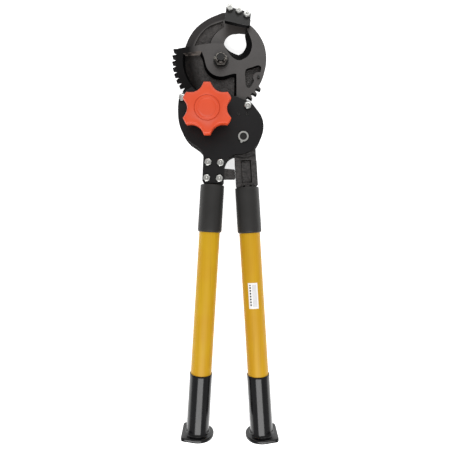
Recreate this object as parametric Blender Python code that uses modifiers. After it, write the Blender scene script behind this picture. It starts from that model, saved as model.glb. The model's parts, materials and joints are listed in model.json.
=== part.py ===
"""A two-handed ratchet cable cutter, built from the pieces that it would come apart into.

Every length below is in millimetres, and MM turns it to metres where a mesh is made. The tool is drawn with
X across it, Y from the handles to the jaws and Z out of its front, and Z = 0 is the middle of the blade.
The empty "tool" then lays it on its back with the origin under the middle of its box.
"""

import math

import bmesh
import bpy
from mathutils import Matrix, Vector

MM = 0.001
GAP = 0.3  # left between pieces that touch

# Where the tool lies: its drawing is shifted so that the box is centred and the lowest point is at Z = 0.
FLOOR_Z = -26.5
TOOL_ORIGIN = (0.0, -3.521, -FLOOR_Z)

# Layers, from the back to the front.
BLADE_HALF = 7.0
JAW_FRONT = -BLADE_HALF - GAP
JAW_BACK = JAW_FRONT - 12.0
PLATE_BACK = BLADE_HALF + GAP
PLATE_FRONT = PLATE_BACK + 6.0
INNER_FRONT = 6.7  # inner pieces run between this and its negative
INNER_MIDDLE = 0.3  # a front layer above it, a rear layer below its negative

# The toothed sector of the blade and the pinion that turns it.
BLADE_PIVOT = (-6.5, 264.5)
MODULE = 3.15
TEETH_PER_TURN = 48
PINION_TEETH = 9
TOOTH_PITCH = 360 / TEETH_PER_TURN
FIRST_TOOTH = 166.7  # degrees, anticlockwise from +X
TOOTH_COUNT = 22
BLADE_PITCH_RADIUS = MODULE * TEETH_PER_TURN / 2
PINION_PITCH_RADIUS = MODULE * PINION_TEETH / 2
TOOTH_TIP = 78.7
TOOTH_ROOT = 72.0
TOOTH_BACK = -4.0  # the height of the teeth's rear faces
TIP_HALF = 1.03  # half a tooth's width at its tip and at its root
ROOT_HALF = 2.70
RIM_RADIUS = 74.2
RIM_RELIEF = 71.8  # where the rim runs on behind the last tooth
PINION_DIRECTION = 256.7

# Pivots, bolts and pins.
HANDLE_PIVOT = (29.1, 140.5)
DRIVE_PAWL_PIVOT = (-6.0, 166.2)
FRAME_BOLTS = {"left": (-68.0, 202.5), "right": (36.3, 190.0)}
TANG_BOLTS = [(-27.1, 99.9), (-7.1, 98.9), (-29.3, 74.7), (-9.0, 74.0)]
SLOTTED_PINS = {"pawl_stop_pin": (21.7, 177.2), "spring_anchor_pin": (35.6, 177.2)}
GUIDE_BOLT_ANGLES = (79.6, 69.1, 59.1)
GUIDE_BOLT_CIRCLE = 80.3
STOP_PIN = (53.8, 237.6)
M6_RADIUS = 3.0
M6_FLATS = 10.0
SPACER_RADIUS = 4.8

PIVOT_SHOULDER = 9.0
PIVOT_THREAD = 6.0
PIVOT_BUSHING = 11.5
CASTLE_FLATS = 19.0
CASTLE_LOW = 9.6
CASTLE_HIGH = 19.6
COTTER_Z = 17.4
COTTER_RADIUS = 1.1

HANDLE_PIN = 7.8
HANDLE_PIN_END = 5.5
HANDLE_BUSHING = 10.5
BRACKET_HEAD = 23.0

PAWL_PIN = 2.5
PAWL_REAR = -INNER_FRONT
DRIVE_PAWL_FRONT = -2.5
DRIVE_PAWL_LIFT = 11.0  # degrees from the teeth to its resting place
HOLDING_PAWL_LIFT = 11.0

# The knob and its shaft.
SHAFT_RADIUS = 6.0
KNOB_RADIUS = 39.6
VALLEY_CENTRE = 49.0  # from the knob's axis to the middle of a valley's arc
VALLEY_RADIUS = 18.8
KNOB_LOW = 14.0
KNOB_RIM_LOW = 31.0
KNOB_HIGH = 45.0
KNOB_HUB = 15.0
CAP_RADIUS = 19.2

# The handles, which lean outwards from the brackets.
HANDLE_LEAN = 3.44
HANDLE_TOPS = {"left": (-20.5, 65.0), "right": (35.5, 63.6)}
SLEEVE_LENGTH = 76.5
SLEEVE_RADIUS = 19.5
TUBE_RADIUS = 16.85
TUBE_WALL = 3.2
TUBE_START = 3.6
TUBE_LENGTH = 397.0
GRIP_START = 306.0
GRIP_LENGTH = 100.5
GRIP_RADIUS = 18.3
FOOT_RADIUS = 26.5
FOOT_FLAT = 25.35
FOOT_CORNER = 4.0  # the rounding of the foot's two outer corners
FOOT_CORNER_ACROSS = 19.2
FOOT_THICKNESS = 5.5
SPIGOT_RADIUS = 13.3  # the bracket's round end inside its tube

# Colour (sRGB), roughness and metallic value of each finish.
FINISHES = {
    "black_forging": ((0.11, 0.105, 0.10), 0.45, 0.7),
    "black_plate": ((0.09, 0.09, 0.09), 0.5, 0.6),
    "zinc": ((0.75, 0.75, 0.74), 0.35, 1.0),
    "dark_steel": ((0.16, 0.16, 0.16), 0.4, 0.9),
    "spring_steel": ((0.35, 0.35, 0.36), 0.35, 1.0),
    "bronze": ((0.60, 0.45, 0.25), 0.4, 1.0),
    "orange_plastic": ((0.91, 0.31, 0.18), 0.45, 0.0),
    "sleeve_plastic": ((0.24, 0.24, 0.24), 0.6, 0.0),
    "yellow_tube": ((0.85, 0.66, 0.15), 0.4, 0.0),
    "black_vinyl": ((0.04, 0.04, 0.04), 0.25, 0.0),
}


# ---------------------------------------------------------------- outlines


def polar(centre, radius, degrees):
    angle = math.radians(degrees)
    return (centre[0] + radius * math.cos(angle), centre[1] + radius * math.sin(angle))


def arc(centre, radius, start, end, steps):
    """Points on an arc from start to end, in degrees. It runs clockwise if end is the smaller."""
    return [polar(centre, radius, start + (end - start) * i / steps) for i in range(steps + 1)]


def circle(centre, radius, steps=24):
    return arc(centre, radius, 0, 360, steps)[:-1]


def smooth(points, steps):
    """A smooth open curve through the points (Catmull-Rom), with steps stretches between two of them."""
    first = Vector(points[0]) * 2 - Vector(points[1])
    last = Vector(points[-1]) * 2 - Vector(points[-2])
    knots = [first, *map(Vector, points), last]
    curve = []
    for a, b, c, d in zip(knots, knots[1:], knots[2:], knots[3:]):
        for i in range(steps):
            t = i / steps
            bend = (b * 3 - a - c * 3 + d) * t**3 + (a * 2 - b * 5 + c * 4 - d) * t**2
            curve.append(tuple((b * 2 + (c - a) * t + bend) / 2))
    return curve + [tuple(points[-1])]


def even(points, count):
    """The same open line, as count points at even distances."""
    line = [Vector(p) for p in points]
    reach = [0.0]
    for a, b in zip(line, line[1:]):
        reach.append(reach[-1] + (b - a).length)
    spaced, k = [], 0
    for i in range(count):
        want = reach[-1] * i / (count - 1)
        while k < len(line) - 2 and reach[k + 1] < want:
            k += 1
        share = (want - reach[k]) / (reach[k + 1] - reach[k])
        spaced.append(tuple(line[k].lerp(line[k + 1], share)))
    return spaced


def turned_about(points, centre, degrees):
    turn = Matrix.Rotation(math.radians(degrees), 2)
    return [tuple(turn @ (Vector(p) - Vector(centre)) + Vector(centre)) for p in points]


def hexagon(centre, flats, turn=0.0):
    return arc(centre, flats / 2 / math.cos(math.radians(30)), turn, turn + 360, 6)[:-1]


# ---------------------------------------------------------------- making objects

for left_over in list(bpy.data.objects):
    bpy.data.objects.remove(left_over)

PARTS = bpy.data.collections.new("cable_cutter")
CUTTERS = bpy.data.collections.new("cutters")
bpy.context.scene.collection.children.link(PARTS)
bpy.context.scene.collection.children.link(CUTTERS)


def evaluated_mesh(obj):
    bpy.context.view_layer.update()
    return bpy.data.meshes.new_from_object(obj.evaluated_get(bpy.context.evaluated_depsgraph_get()))


def add(name, bm):
    """A new object in the parts' collection from a bmesh in metres."""
    mesh = bpy.data.meshes.new(name)
    bm.to_mesh(mesh)
    bm.free()
    obj = bpy.data.objects.new(name, mesh)
    PARTS.objects.link(obj)
    return obj


def prism(name, outlines, low, high):
    """A flat piece between two heights: the first outline with the others as holes."""
    curve = bpy.data.curves.new(name, "CURVE")
    curve.dimensions = "2D"
    curve.fill_mode = "BOTH"
    curve.extrude = (high - low) / 2 * MM
    for outline in outlines:
        spline = curve.splines.new("POLY")
        spline.points.add(len(outline) - 1)
        for point, (x, y) in zip(spline.points, outline):
            point.co = (x * MM, y * MM, 0, 1)
        spline.use_cyclic_u = True
    flat = bpy.data.objects.new(name, curve)
    PARTS.objects.link(flat)
    bm = bmesh.new()
    bm.from_mesh(evaluated_mesh(flat))
    bmesh.ops.remove_doubles(bm, verts=bm.verts, dist=1e-6)
    bmesh.ops.translate(bm, verts=bm.verts, vec=(0, 0, (low + high) / 2 * MM))
    bmesh.ops.recalc_face_normals(bm, faces=bm.faces)
    bpy.data.objects.remove(flat)
    return add(name, bm)


def cylinder(name, centre, radius, low, high, segments=24):
    bm = bmesh.new()
    bmesh.ops.create_cone(
        bm, cap_ends=True, segments=segments, radius1=radius * MM, radius2=radius * MM, depth=(high - low) * MM
    )
    middle = Vector((centre[0], centre[1], (low + high) / 2)) * MM
    bmesh.ops.translate(bm, verts=bm.verts, vec=middle)
    return add(name, bm)


def tube(name, centre, outer, inner, low, high, steps=24):
    return prism(name, [circle(centre, outer, steps), circle(centre, inner, steps)], low, high)


def loft(name, low_outline, high_outline, low, high):
    """A closed solid between two outlines with as many points each."""
    bm = bmesh.new()
    loops = []
    for outline, height in ((low_outline, low), (high_outline, high)):
        ring = [bm.verts.new((x * MM, y * MM, height * MM)) for x, y in outline]
        loops.append([bm.edges.new((a, b)) for a, b in zip(ring, ring[1:] + ring[:1])])
        bm.faces.new(ring)
    bmesh.ops.bridge_loops(bm, edges=loops[0] + loops[1])
    bmesh.ops.triangulate(bm, faces=bm.faces)
    bmesh.ops.recalc_face_normals(bm, faces=bm.faces)
    return add(name, bm)


def turned(name, profile, steps, place):
    """A closed profile of (radius, height) turned about Z, and put in place by a matrix in metres."""
    bm = bmesh.new()
    ring = [bm.verts.new((radius * MM, 0, height * MM)) for radius, height in profile]
    for a, b in zip(ring, ring[1:] + ring[:1]):
        bm.edges.new((a, b))
    obj = add(name, bm)
    screw = obj.modifiers.new("turn", "SCREW")
    screw.steps = screw.render_steps = steps
    screw.use_merge_vertices = True
    screw.merge_threshold = 1e-5
    bm = bmesh.new()
    bm.from_mesh(evaluated_mesh(obj))
    bmesh.ops.remove_doubles(bm, verts=bm.verts, dist=1e-6)
    bmesh.ops.dissolve_degenerate(bm, edges=bm.edges, dist=1e-6)
    bmesh.ops.recalc_face_normals(bm, faces=bm.faces)
    bmesh.ops.transform(bm, matrix=place, verts=bm.verts)
    bpy.data.objects.remove(obj)
    return add(name, bm)


def wire(name, points, radius):
    """A bent wire through points in millimetres."""
    curve = bpy.data.curves.new(name, "CURVE")
    curve.dimensions = "3D"
    curve.bevel_depth = radius * MM
    curve.bevel_resolution = 1
    curve.use_fill_caps = True
    spline = curve.splines.new("POLY")
    spline.points.add(len(points) - 1)
    for point, place in zip(spline.points, points):
        point.co = (*(Vector(place) * MM), 1)
    obj = bpy.data.objects.new(name, curve)
    PARTS.objects.link(obj)
    return obj


def combine(piece, others, operation):
    """Joins the other solids to a piece, or cuts them out of it, by Boolean modifiers."""
    for other in others:
        PARTS.objects.unlink(other)
        CUTTERS.objects.link(other)
        other.hide_render = True
        other.display_type = "WIRE"
        modifier = piece.modifiers.new(other.name, "BOOLEAN")
        modifier.operation = operation
        modifier.solver = "EXACT"
        modifier.object = other
        helpers_of.setdefault(piece.name, []).append(other)
    return piece


def join(piece, *others):
    return combine(piece, others, "UNION")


def cut(piece, *others):
    return combine(piece, others, "DIFFERENCE")


def box(name, low, high):
    outline = [(low[0], low[1]), (high[0], low[1]), (high[0], high[1]), (low[0], high[1])]
    return prism(name, [outline], low[2], high[2])


def flatten(piece):
    """Replaces a piece's modifiers by their result, so that copies can share its mesh."""
    mesh = evaluated_mesh(piece)
    piece.modifiers.clear()
    piece.data = mesh
    for helper in helpers_of.pop(piece.name, []):
        bpy.data.objects.remove(helper)
    return piece


def copies_at(piece, names, places):
    """Copies that share a piece's mesh, each at its place. The piece itself is removed."""
    for name, (x, y) in zip(names, places):
        copy = bpy.data.objects.new(name, piece.data)
        copy.location = (x * MM, y * MM, 0)
        PARTS.objects.link(copy)
    bpy.data.objects.remove(piece)


helpers_of = {}


# ---------------------------------------------------------------- shared outlines

PINION_AXIS = polar(BLADE_PIVOT, BLADE_PITCH_RADIUS + PINION_PITCH_RADIUS, PINION_DIRECTION)
ORIGIN = (0.0, 0.0)

# The two sides of the frame below the blade, shared by the front plate and the rear frame.
FRAME_RIGHT = smooth(
    [
        (-1.6, 84.0),
        (-0.6, 95.0),
        (4.2, 106.2),
        (14.0, 112.3),
        (28.7, 113.7),
        (44.0, 120.3),
        (55.6, 134.5),
        (61.4, 153.0),
        (59.3, 170.8),
        (50.4, 184.6),
        (43.6, 193.2),
    ],
    3,
)
FRAME_LEFT = smooth(
    [
        (-73.6, 202.0),
        (-75.0, 186.0),
        (-73.9, 165.6),
        (-68.2, 148.0),
        (-57.3, 133.5),
        (-41.5, 122.3),
        (-35.0, 112.5),
        (-35.2, 96.5),
    ],
    3,
)
LEFT_CORNER = [(-62.5, 214.6), (-68.5, 210.2)]
TANG_FOOT = [(-36.2, 70.6), (-33.6, 66.8), (-4.5, 66.8), (-2.2, 69.2)]
BEHIND_ROOTS = 68.5  # the rear frame's radius about the blade's pivot, on the left


def bolt_holes(with_guide):
    holes = [circle(place, M6_RADIUS + GAP, 12) for place in [*FRAME_BOLTS.values(), *TANG_BOLTS]]
    holes += [circle(place, PAWL_PIN + GAP, 12) for place in SLOTTED_PINS.values()]
    holes.append(circle(PINION_AXIS, SHAFT_RADIUS + GAP))
    holes.append(circle(HANDLE_PIVOT, HANDLE_PIN + GAP))
    if with_guide:
        holes.append(circle(BLADE_PIVOT, PIVOT_SHOULDER + GAP))
        holes += [circle(place, M6_RADIUS + GAP, 12) for place in GUIDE_BOLTS]
    return holes


GUIDE_BOLTS = [polar(BLADE_PIVOT, GUIDE_BOLT_CIRCLE, angle) for angle in GUIDE_BOLT_ANGLES]


# ---------------------------------------------------------------- the fixed jaw and frame


def fixed_jaw():
    """The forging behind the blade: hook jaw, pivot boss, frame and tang in one."""
    throat_centre, throat_radius = (16.5, 297.0), 18.2
    edge = arc(throat_centre, throat_radius, -72, -262, 22) + [(24.0, 316.0), (32.0, 317.6)]
    back = smooth([(-5.0, 350.0), (-28.0, 340.0), (-46.6, 326.4), (-58.2, 311.0), (-65.5, 294.0), (-71.0, 275.0)], 5)
    # On the left the frame steps in behind the roots of the sector's teeth, so that the gaps between them stay open.
    behind_roots = arc(BLADE_PIVOT, BEHIND_ROOTS, 180, 218, 10)
    outline = (
        [(39.8, 318.2), (42.4, 338.2), (38.5, 341.6), (4.0, 350.8)]
        + back
        + behind_roots
        + LEFT_CORNER
        + FRAME_LEFT
        + TANG_FOOT
        + FRAME_RIGHT
        + smooth([(37.0, 203.0), (27.0, 218.0), (21.5, 236.0), (22.5, 256.0), (24.5, 272.0)], 3)
        + edge
    )
    jaw = prism("fixed_jaw", [outline, *bolt_holes(with_guide=True)], JAW_BACK, JAW_FRONT)

    # Shallow pocket between the outer rib and the cutting edge.
    pocket_outer = smooth([(-3.0, 336.6), (-24.9, 328.4), (-39.6, 315.5), (-49.2, 298.7), (-54.0, 284.0)], 4)
    pocket_inner = smooth([(-27.0, 284.0), (-23.9, 300.1), (-20.9, 309.2), (-13.4, 318.4), (-1.5, 327.2)], 4)
    pocket = prism("jaw_pocket", [pocket_outer + pocket_inner], JAW_FRONT - 2.5, JAW_FRONT + 1)

    # The edge is ground from behind, from a narrow land at the front.
    bevel_front = edge + [(36.0, 300.0), (30.0, 284.0)]
    bevel_back = even(arc((13.5, 297.5), 27.0, -62, -262, 22) + [(24.0, 322.5), (34.0, 321.0)], len(edge))
    bevel_back += [(44.0, 300.0), (38.0, 282.0)]
    bevel = loft("jaw_bevel", bevel_back, bevel_front, JAW_BACK - 0.5, JAW_FRONT - 1.0)
    # A narrow groove follows the inner side of the pocket.
    groove_centre = (18.3, 286.4)
    groove = arc(groove_centre, 46.3, 182, 117, 14) + arc(groove_centre, 44.7, 117, 182, 14)
    groove = prism("jaw_groove", [groove], JAW_FRONT - 5.0, JAW_FRONT + 1)

    punch_mark = cylinder("jaw_punch_mark", (-5.8, 331.6), 1.4, JAW_FRONT - 5.5, JAW_FRONT + 1, 12)
    return cut(jaw, pocket, bevel, groove, punch_mark)


def front_plate():
    upper_right = [(38.0, 197.6), (31.0, 199.3), (17.5, 205.2)]
    above_teeth = arc(BLADE_PIVOT, 64.0, -69, -136, 20)
    outline = upper_right + above_teeth + LEFT_CORNER + FRAME_LEFT + TANG_FOOT + FRAME_RIGHT
    return prism("front_plate", [outline, *bolt_holes(with_guide=False)], PLATE_BACK, PLATE_FRONT)


def blade_guide():
    """A block across the jaw's nose, hollow below so that the blade's hook slides through it."""
    outline = [(-0.6, 324.3), (35.3, 316.2), (39.6, 317.2), (41.2, 335.2), (39.6, 337.2), (4.4, 346.6), (2.0, 345.4)]
    guide = prism("blade_guide", [outline, *[circle(p, M6_RADIUS + GAP, 12) for p in GUIDE_BOLTS]], -7.0, 16.0)
    slot = cylinder("guide_slot", BLADE_PIVOT, RIM_RADIUS + 0.7, -8.0, PLATE_BACK, 96)
    return cut(guide, slot)


# ---------------------------------------------------------------- the moving blade


def rim_radius(angle):
    """The plain rim grows from the relief behind the last tooth to its full radius."""
    share = min(max((angle - 334.0) / 46.0, 0.0), 1.0)
    return RIM_RELIEF + (RIM_RADIUS - RIM_RELIEF) * share


def sector_teeth():
    points = []
    for i in range(TOOTH_COUNT):
        middle = FIRST_TOOTH + i * TOOTH_PITCH
        root, tip = math.degrees(ROOT_HALF / TOOTH_ROOT), math.degrees(TIP_HALF / TOOTH_TIP)
        points.append(polar(BLADE_PIVOT, TOOTH_ROOT, middle - root))
        points.append(polar(BLADE_PIVOT, TOOTH_TIP, middle - tip))
        points.append(polar(BLADE_PIVOT, TOOTH_TIP, middle + tip))
        points.append(polar(BLADE_PIVOT, TOOTH_ROOT, middle + root))
    return points


def moving_blade():
    edge = smooth([(34.0, 317.6), (32.9, 311.0), (35.0, 298.0), (33.4, 290.6), (28.6, 283.6), (22.5, 279.9)], 5)
    edge += smooth([(22.5, 279.9), (16.3, 282.0), (9.6, 285.3), (4.6, 289.0), (1.5, 291.8)], 3)[1:]
    top = smooth([(-4.0, 291.9), (-24.0, 292.4), (-50.0, 288.4), (-75.4, 284.4)], 3)
    rim = [polar(BLADE_PIVOT, rim_radius(angle), angle) for angle in range(329, 411, 3)]
    hook = [(39.6, 322.2), (36.6, 321.4)]
    outline = top + sector_teeth() + rim + hook + edge
    bores = [circle(BLADE_PIVOT, PIVOT_BUSHING + GAP, 32), circle(STOP_PIN, 2.2 + GAP, 12)]
    blade = prism("moving_blade", [outline, *bores], -BLADE_HALF, BLADE_HALF)

    # The edge is ground from the front, down to a narrow land at the back.
    wide = smooth([(34.0, 317.6), (39.2, 306.9), (43.6, 293.3), (42.6, 281.5), (36.6, 271.0), (24.8, 264.6)], 5)
    wide += smooth([(24.8, 264.6), (17.0, 266.3), (9.3, 272.3), (1.6, 283.2), (-2.4, 292.3)], 3)[1:]
    outside = [(-6.0, 306.0), (12.0, 322.0), (28.0, 322.0)]
    bevel = loft("blade_bevel", edge + outside, even(wide, len(edge)) + outside, -6.2, BLADE_HALF + 0.4)

    # The cast web: a deep pocket with drafted walls between the hub, the rim and the stem of the blade.
    def web(rim_inset, wall, top_drop):
        rim_arc = arc(BLADE_PIVOT, 61.8 - rim_inset, 169.0, 294.0 - wall * 0.9, 26)
        hub_arc = arc(BLADE_PIVOT, 25.3 + wall, -80, -168, 10)
        right = [(18.5 - wall, 243.6 - wall), (14.0 - wall, 243.9 - wall)]
        left = [(-33.2 - wall, 268.0), (-37.4 - wall, 279.8 - top_drop), (-41.0, 280.6 - top_drop)]
        return rim_arc + right + hub_arc + left

    web_floor = -0.8
    pocket = loft("web_pocket", web(3.3, 3.2, 3.4), web(0.0, 0.0, 0.0), web_floor, BLADE_HALF + 0.1)

    # The small pocket beside the boss of the stop pin.
    outline = smooth([(58.6, 254.0), (54.0, 257.4), (43.0, 254.0), (33.6, 250.3), (32.2, 240.0)], 2)
    outline += smooth([(33.4, 226.0), (36.0, 221.2), (40.6, 221.6), (45.6, 229.5)], 2)
    outline += arc(STOP_PIN, 8.6, 216, 100, 6) + [(57.4, 246.4)]
    small_pocket = prism("small_pocket", [outline], web_floor, BLADE_HALF + 0.1)

    # The teeth are thinner than the blade: they are relieved at the back.
    first, last = FIRST_TOOTH - TOOTH_PITCH / 2, FIRST_TOOTH + (TOOTH_COUNT - 0.5) * TOOTH_PITCH
    relief = arc(BLADE_PIVOT, TOOTH_TIP + 5, first, last, 30) + arc(BLADE_PIVOT, TOOTH_ROOT - 1.5, last, first, 30)
    relief = prism("tooth_relief", [relief], -BLADE_HALF - 1, TOOTH_BACK)
    return cut(blade, bevel, pocket, small_pocket, relief)


# ---------------------------------------------------------------- fasteners


def hex_bolt(name, head_low, head_high, shank_end):
    """A hexagon bolt on the Z axis."""
    head = prism(name, [hexagon(ORIGIN, M6_FLATS, 15)], head_low, head_high)
    shank = cylinder(name + "_shank", ORIGIN, M6_RADIUS, shank_end, head_low + 1, 12)
    return flatten(join(head, shank))


def small_fasteners():
    through = hex_bolt("through_bolt", PLATE_FRONT + GAP, PLATE_FRONT + GAP + 4, -25.6)
    names = ["frame_bolt_left", "frame_bolt_right", *[f"tang_bolt_{i}" for i in (1, 2, 3, 4)]]
    places = [*FRAME_BOLTS.values(), *TANG_BOLTS]
    copies_at(through, names, places)

    nut_outlines = [hexagon(ORIGIN, M6_FLATS, 15), circle(ORIGIN, M6_RADIUS + GAP, 12)]
    nut = prism("nut", nut_outlines, JAW_BACK - GAP - 5, JAW_BACK - GAP)
    copies_at(nut, [name.replace("bolt", "nut") for name in names], places)

    guide_bolt = hex_bolt("guide_bolt", 16.0 + GAP, 20.0 + GAP, JAW_BACK + 1)
    copies_at(guide_bolt, [f"guide_bolt_{i}" for i in (1, 2, 3)], GUIDE_BOLTS)

    for side, place in FRAME_BOLTS.items():
        tube("spacer_" + side, place, SPACER_RADIUS, M6_RADIUS + GAP, -BLADE_HALF, BLADE_HALF, 16)

    for name, place in SLOTTED_PINS.items():
        pin = cylinder(name, place, PAWL_PIN, JAW_BACK + 1, PLATE_FRONT + 1.0, 16)
        reach = 3.0
        low = (place[0] - 0.5, place[1] - reach, PLATE_FRONT - 0.2)
        cut(pin, box(name + "_slot", low, (place[0] + 0.5, place[1] + reach, PLATE_FRONT + 2)))


def blade_pivot():
    bolt = cylinder("blade_pivot_bolt", BLADE_PIVOT, PIVOT_SHOULDER, FLOOR_Z + 4, BLADE_HALF, 32)
    head = cylinder("pivot_head", BLADE_PIVOT, 14.0, FLOOR_Z, JAW_BACK - GAP, 32)
    thread = cylinder("pivot_thread", BLADE_PIVOT, PIVOT_THREAD, BLADE_HALF - 1, 21.5, 24)
    hole = cylinder("cotter_hole", ORIGIN, COTTER_RADIUS + GAP, -10, 10, 12)
    hole.matrix_world = Matrix.Translation(Vector((*BLADE_PIVOT, COTTER_Z)) * MM) @ Matrix.Rotation(
        math.radians(90), 4, "Y"
    )
    cut(join(bolt, head, thread), hole)

    tube("pivot_bushing", BLADE_PIVOT, PIVOT_BUSHING, PIVOT_SHOULDER + GAP, -BLADE_HALF, BLADE_HALF, 32)
    tube("pivot_washer", BLADE_PIVOT, 12.5, PIVOT_THREAD + GAP, PLATE_BACK, PLATE_BACK + 2, 32)

    nut_outlines = [hexagon(BLADE_PIVOT, CASTLE_FLATS, 0), circle(BLADE_PIVOT, PIVOT_THREAD + GAP)]
    nut = prism("castle_nut", nut_outlines, CASTLE_LOW, CASTLE_HIGH)
    for i in range(3):
        slot = box(f"castle_slot_{i}", (-15, -1.7, CASTLE_HIGH - 4), (15, 1.7, CASTLE_HIGH + 2))
        turn = Matrix.Rotation(math.radians(60 * i), 4, "Z")
        slot.matrix_world = Matrix.Translation(Vector((*BLADE_PIVOT, 0)) * MM) @ turn
        cut(nut, slot)

    x, y = BLADE_PIVOT
    bend = [(x - 14.2, COTTER_Z - 5.0), (x - 13.8, COTTER_Z - 1.5), (x - 12.4, COTTER_Z)]
    far_bend = [(x + 12.4, COTTER_Z), (x + 13.6, COTTER_Z + 1.2), (x + 14.4, COTTER_Z + 3.6)]
    wire("cotter_pin", [(px, y, pz) for px, pz in bend + far_bend], COTTER_RADIUS)

    cylinder("stop_pin", STOP_PIN, 2.2, -BLADE_HALF + 0.5, 11.0, 16)


def handle_pivot():
    bolt = cylinder("handle_pivot_bolt", HANDLE_PIVOT, HANDLE_PIN, JAW_BACK - 2, PLATE_FRONT, 24)
    head = cylinder("handle_pin_head", HANDLE_PIVOT, 11.0, -25.6, JAW_BACK - GAP, 24)
    end = cylinder("handle_pin_end", HANDLE_PIVOT, HANDLE_PIN_END, PLATE_FRONT - 1, 18.6, 24)
    join(bolt, head, end)
    nut = tube("handle_pivot_nut", HANDLE_PIVOT, 8.2, HANDLE_PIN_END + GAP, PLATE_FRONT + GAP, 17.4)
    x, y = polar(HANDLE_PIVOT, 8.6, 250)
    join(nut, cylinder("lock_tab", (x, y), 1.9, PLATE_FRONT + GAP, PLATE_FRONT + 2.3, 12))
    tube("handle_bushing", HANDLE_PIVOT, HANDLE_BUSHING, HANDLE_PIN + GAP, -BLADE_HALF, BLADE_HALF)


# ---------------------------------------------------------------- pinion and knob


def pinion_outline():
    """Nine stub teeth. A gap faces the blade, because one of the blade's teeth stands on the line of centres."""
    points = []
    pitch = 360 / PINION_TEETH
    facing = PINION_DIRECTION - 180
    for i in range(PINION_TEETH):
        middle = facing + pitch * (i + 0.5)
        for radius, half in ((10.2, 9.5), (12.6, 8.9), (14.6, 6.4), (16.6, 2.7)):
            points.append(polar(PINION_AXIS, radius, middle - half))
        for radius, half in ((16.6, 2.7), (14.6, 6.4), (12.6, 8.9), (10.2, 9.5)):
            points.append(polar(PINION_AXIS, radius, middle + half))
    return points


def pinion_and_knob():
    gear = prism("pinion_shaft", [pinion_outline()], INNER_MIDDLE, INNER_FRONT)
    join(gear, cylinder("shaft", PINION_AXIS, SHAFT_RADIUS, -24.4, KNOB_HIGH - 4.5))
    tube("pinion_clip", PINION_AXIS, 9.0, SHAFT_RADIUS + GAP, -22.2, -20.2)

    outline = []
    for i in range(6):
        lobe = 90 + 60 * i
        valley = polar(PINION_AXIS, VALLEY_CENTRE, lobe + 30)
        outline += arc(PINION_AXIS, KNOB_RADIUS, lobe - 6, lobe + 6, 3)
        outline += arc(valley, VALLEY_RADIUS, lobe - 104, lobe - 196, 12)
    knob = prism("knob", [outline], KNOB_RIM_LOW, KNOB_HIGH)
    join(knob, cylinder("knob_hub", PINION_AXIS, KNOB_HUB, KNOB_LOW, KNOB_RIM_LOW + 1, 32))
    recess = cylinder("knob_recess", PINION_AXIS, CAP_RADIUS + GAP, KNOB_HIGH - 2, KNOB_HIGH + 1, 40)
    bore = cylinder("knob_bore", PINION_AXIS, SHAFT_RADIUS + GAP, KNOB_LOW - 1, KNOB_HIGH - 4.2)
    cut(knob, recess, bore)
    cylinder("knob_cap", PINION_AXIS, CAP_RADIUS, KNOB_HIGH - 2 + GAP, KNOB_HIGH - 0.4, 40)


# ---------------------------------------------------------------- pawls and springs


def pawl_outline(nose, pivot, hub, start, end):
    """The nose's points, in degrees and radius about the blade's pivot, closed by an arc round the pawl's hub."""
    return [polar(BLADE_PIVOT, radius, angle) for radius, angle in nose] + arc(pivot, hub, start, end, 9)


def spring(name, centre, radius, wire_radius, low, high, turns, legs):
    """A torsion spring with a straight leg at each end, each leg given as an angle and a length."""
    steps = int(turns * 12)
    coil = []
    for i in range(steps + 1):
        angle = legs[0][0] + 90 + 360 * turns * i / steps
        coil.append((*polar(centre, radius, angle), low + (high - low) * i / steps))
    first = Vector(coil[0]) + Vector((*polar(ORIGIN, legs[0][1], legs[0][0]), 0))
    last = Vector(coil[-1]) + Vector((*polar(ORIGIN, legs[1][1], legs[1][0]), 0))
    wire(name, [tuple(first), *coil, tuple(last)], wire_radius)


def pawls():
    nose = [(83.3, 286.6), (82.4, 292.0), (79.8, 292.2), (76.0, 290.9), (73.6, 290.4), (73.6, 289.1), (79.6, 288.1)]
    drive = turned_about(pawl_outline(nose, DRIVE_PAWL_PIVOT, 5.6, 138, 322), DRIVE_PAWL_PIVOT, -DRIVE_PAWL_LIFT)
    prism("drive_pawl", [drive, circle(DRIVE_PAWL_PIVOT, PAWL_PIN + GAP, 16)], PAWL_REAR, DRIVE_PAWL_FRONT)
    cylinder("drive_pawl_pin", DRIVE_PAWL_PIVOT, PAWL_PIN, -6.9, 6.9, 16)
    spring("drive_pawl_spring", DRIVE_PAWL_PIVOT, 3.8, 0.4, -1.9, -0.55, 1.5, [(38.0, 9.0), (-36.0, 9.0)])

    pivot = FRAME_BOLTS["left"]
    along_rim = [(79.5, 243.0 - 3.0 * i) for i in range(6)]
    nose = [(84.8, 247.4), (79.8, 247.2), (73.6, 245.9), (73.6, 244.3), *along_rim]
    holding = turned_about(pawl_outline(nose, pivot, 7.6, 66, 262), pivot, -HOLDING_PAWL_LIFT)
    bore = circle(pivot, SPACER_RADIUS + GAP, 16)
    prism("holding_pawl", [holding, bore], PAWL_REAR, -INNER_MIDDLE)
    spring("holding_pawl_spring", pivot, 5.9, 0.5, 1.2, 5.6, 3.6, [(-60.0, 12.0), (-110.0, 10.0)])


# ---------------------------------------------------------------- brackets and handles


def handle_matrix(side):
    """Z runs down the handle from its top, X points away from the other handle."""
    lean = math.radians(HANDLE_LEAN)
    sign = -1 if side == "left" else 1
    down = Vector((sign * math.sin(lean), -math.cos(lean), 0))
    outward = Vector((sign * math.cos(lean), math.sin(lean), 0))
    top = Vector((*HANDLE_TOPS[side], 0)) * MM
    turn = Matrix((outward, down.cross(outward), down)).transposed().to_4x4()
    return Matrix.Translation(top) @ turn


def beside(side, across, down):
    """A point of the drawing, given across the handle outwards and down it from its top."""
    place = handle_matrix(side)
    outward, along = place.col[0].xy, place.col[2].xy
    return tuple(Vector(HANDLE_TOPS[side]) + outward * across + along * down)


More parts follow.
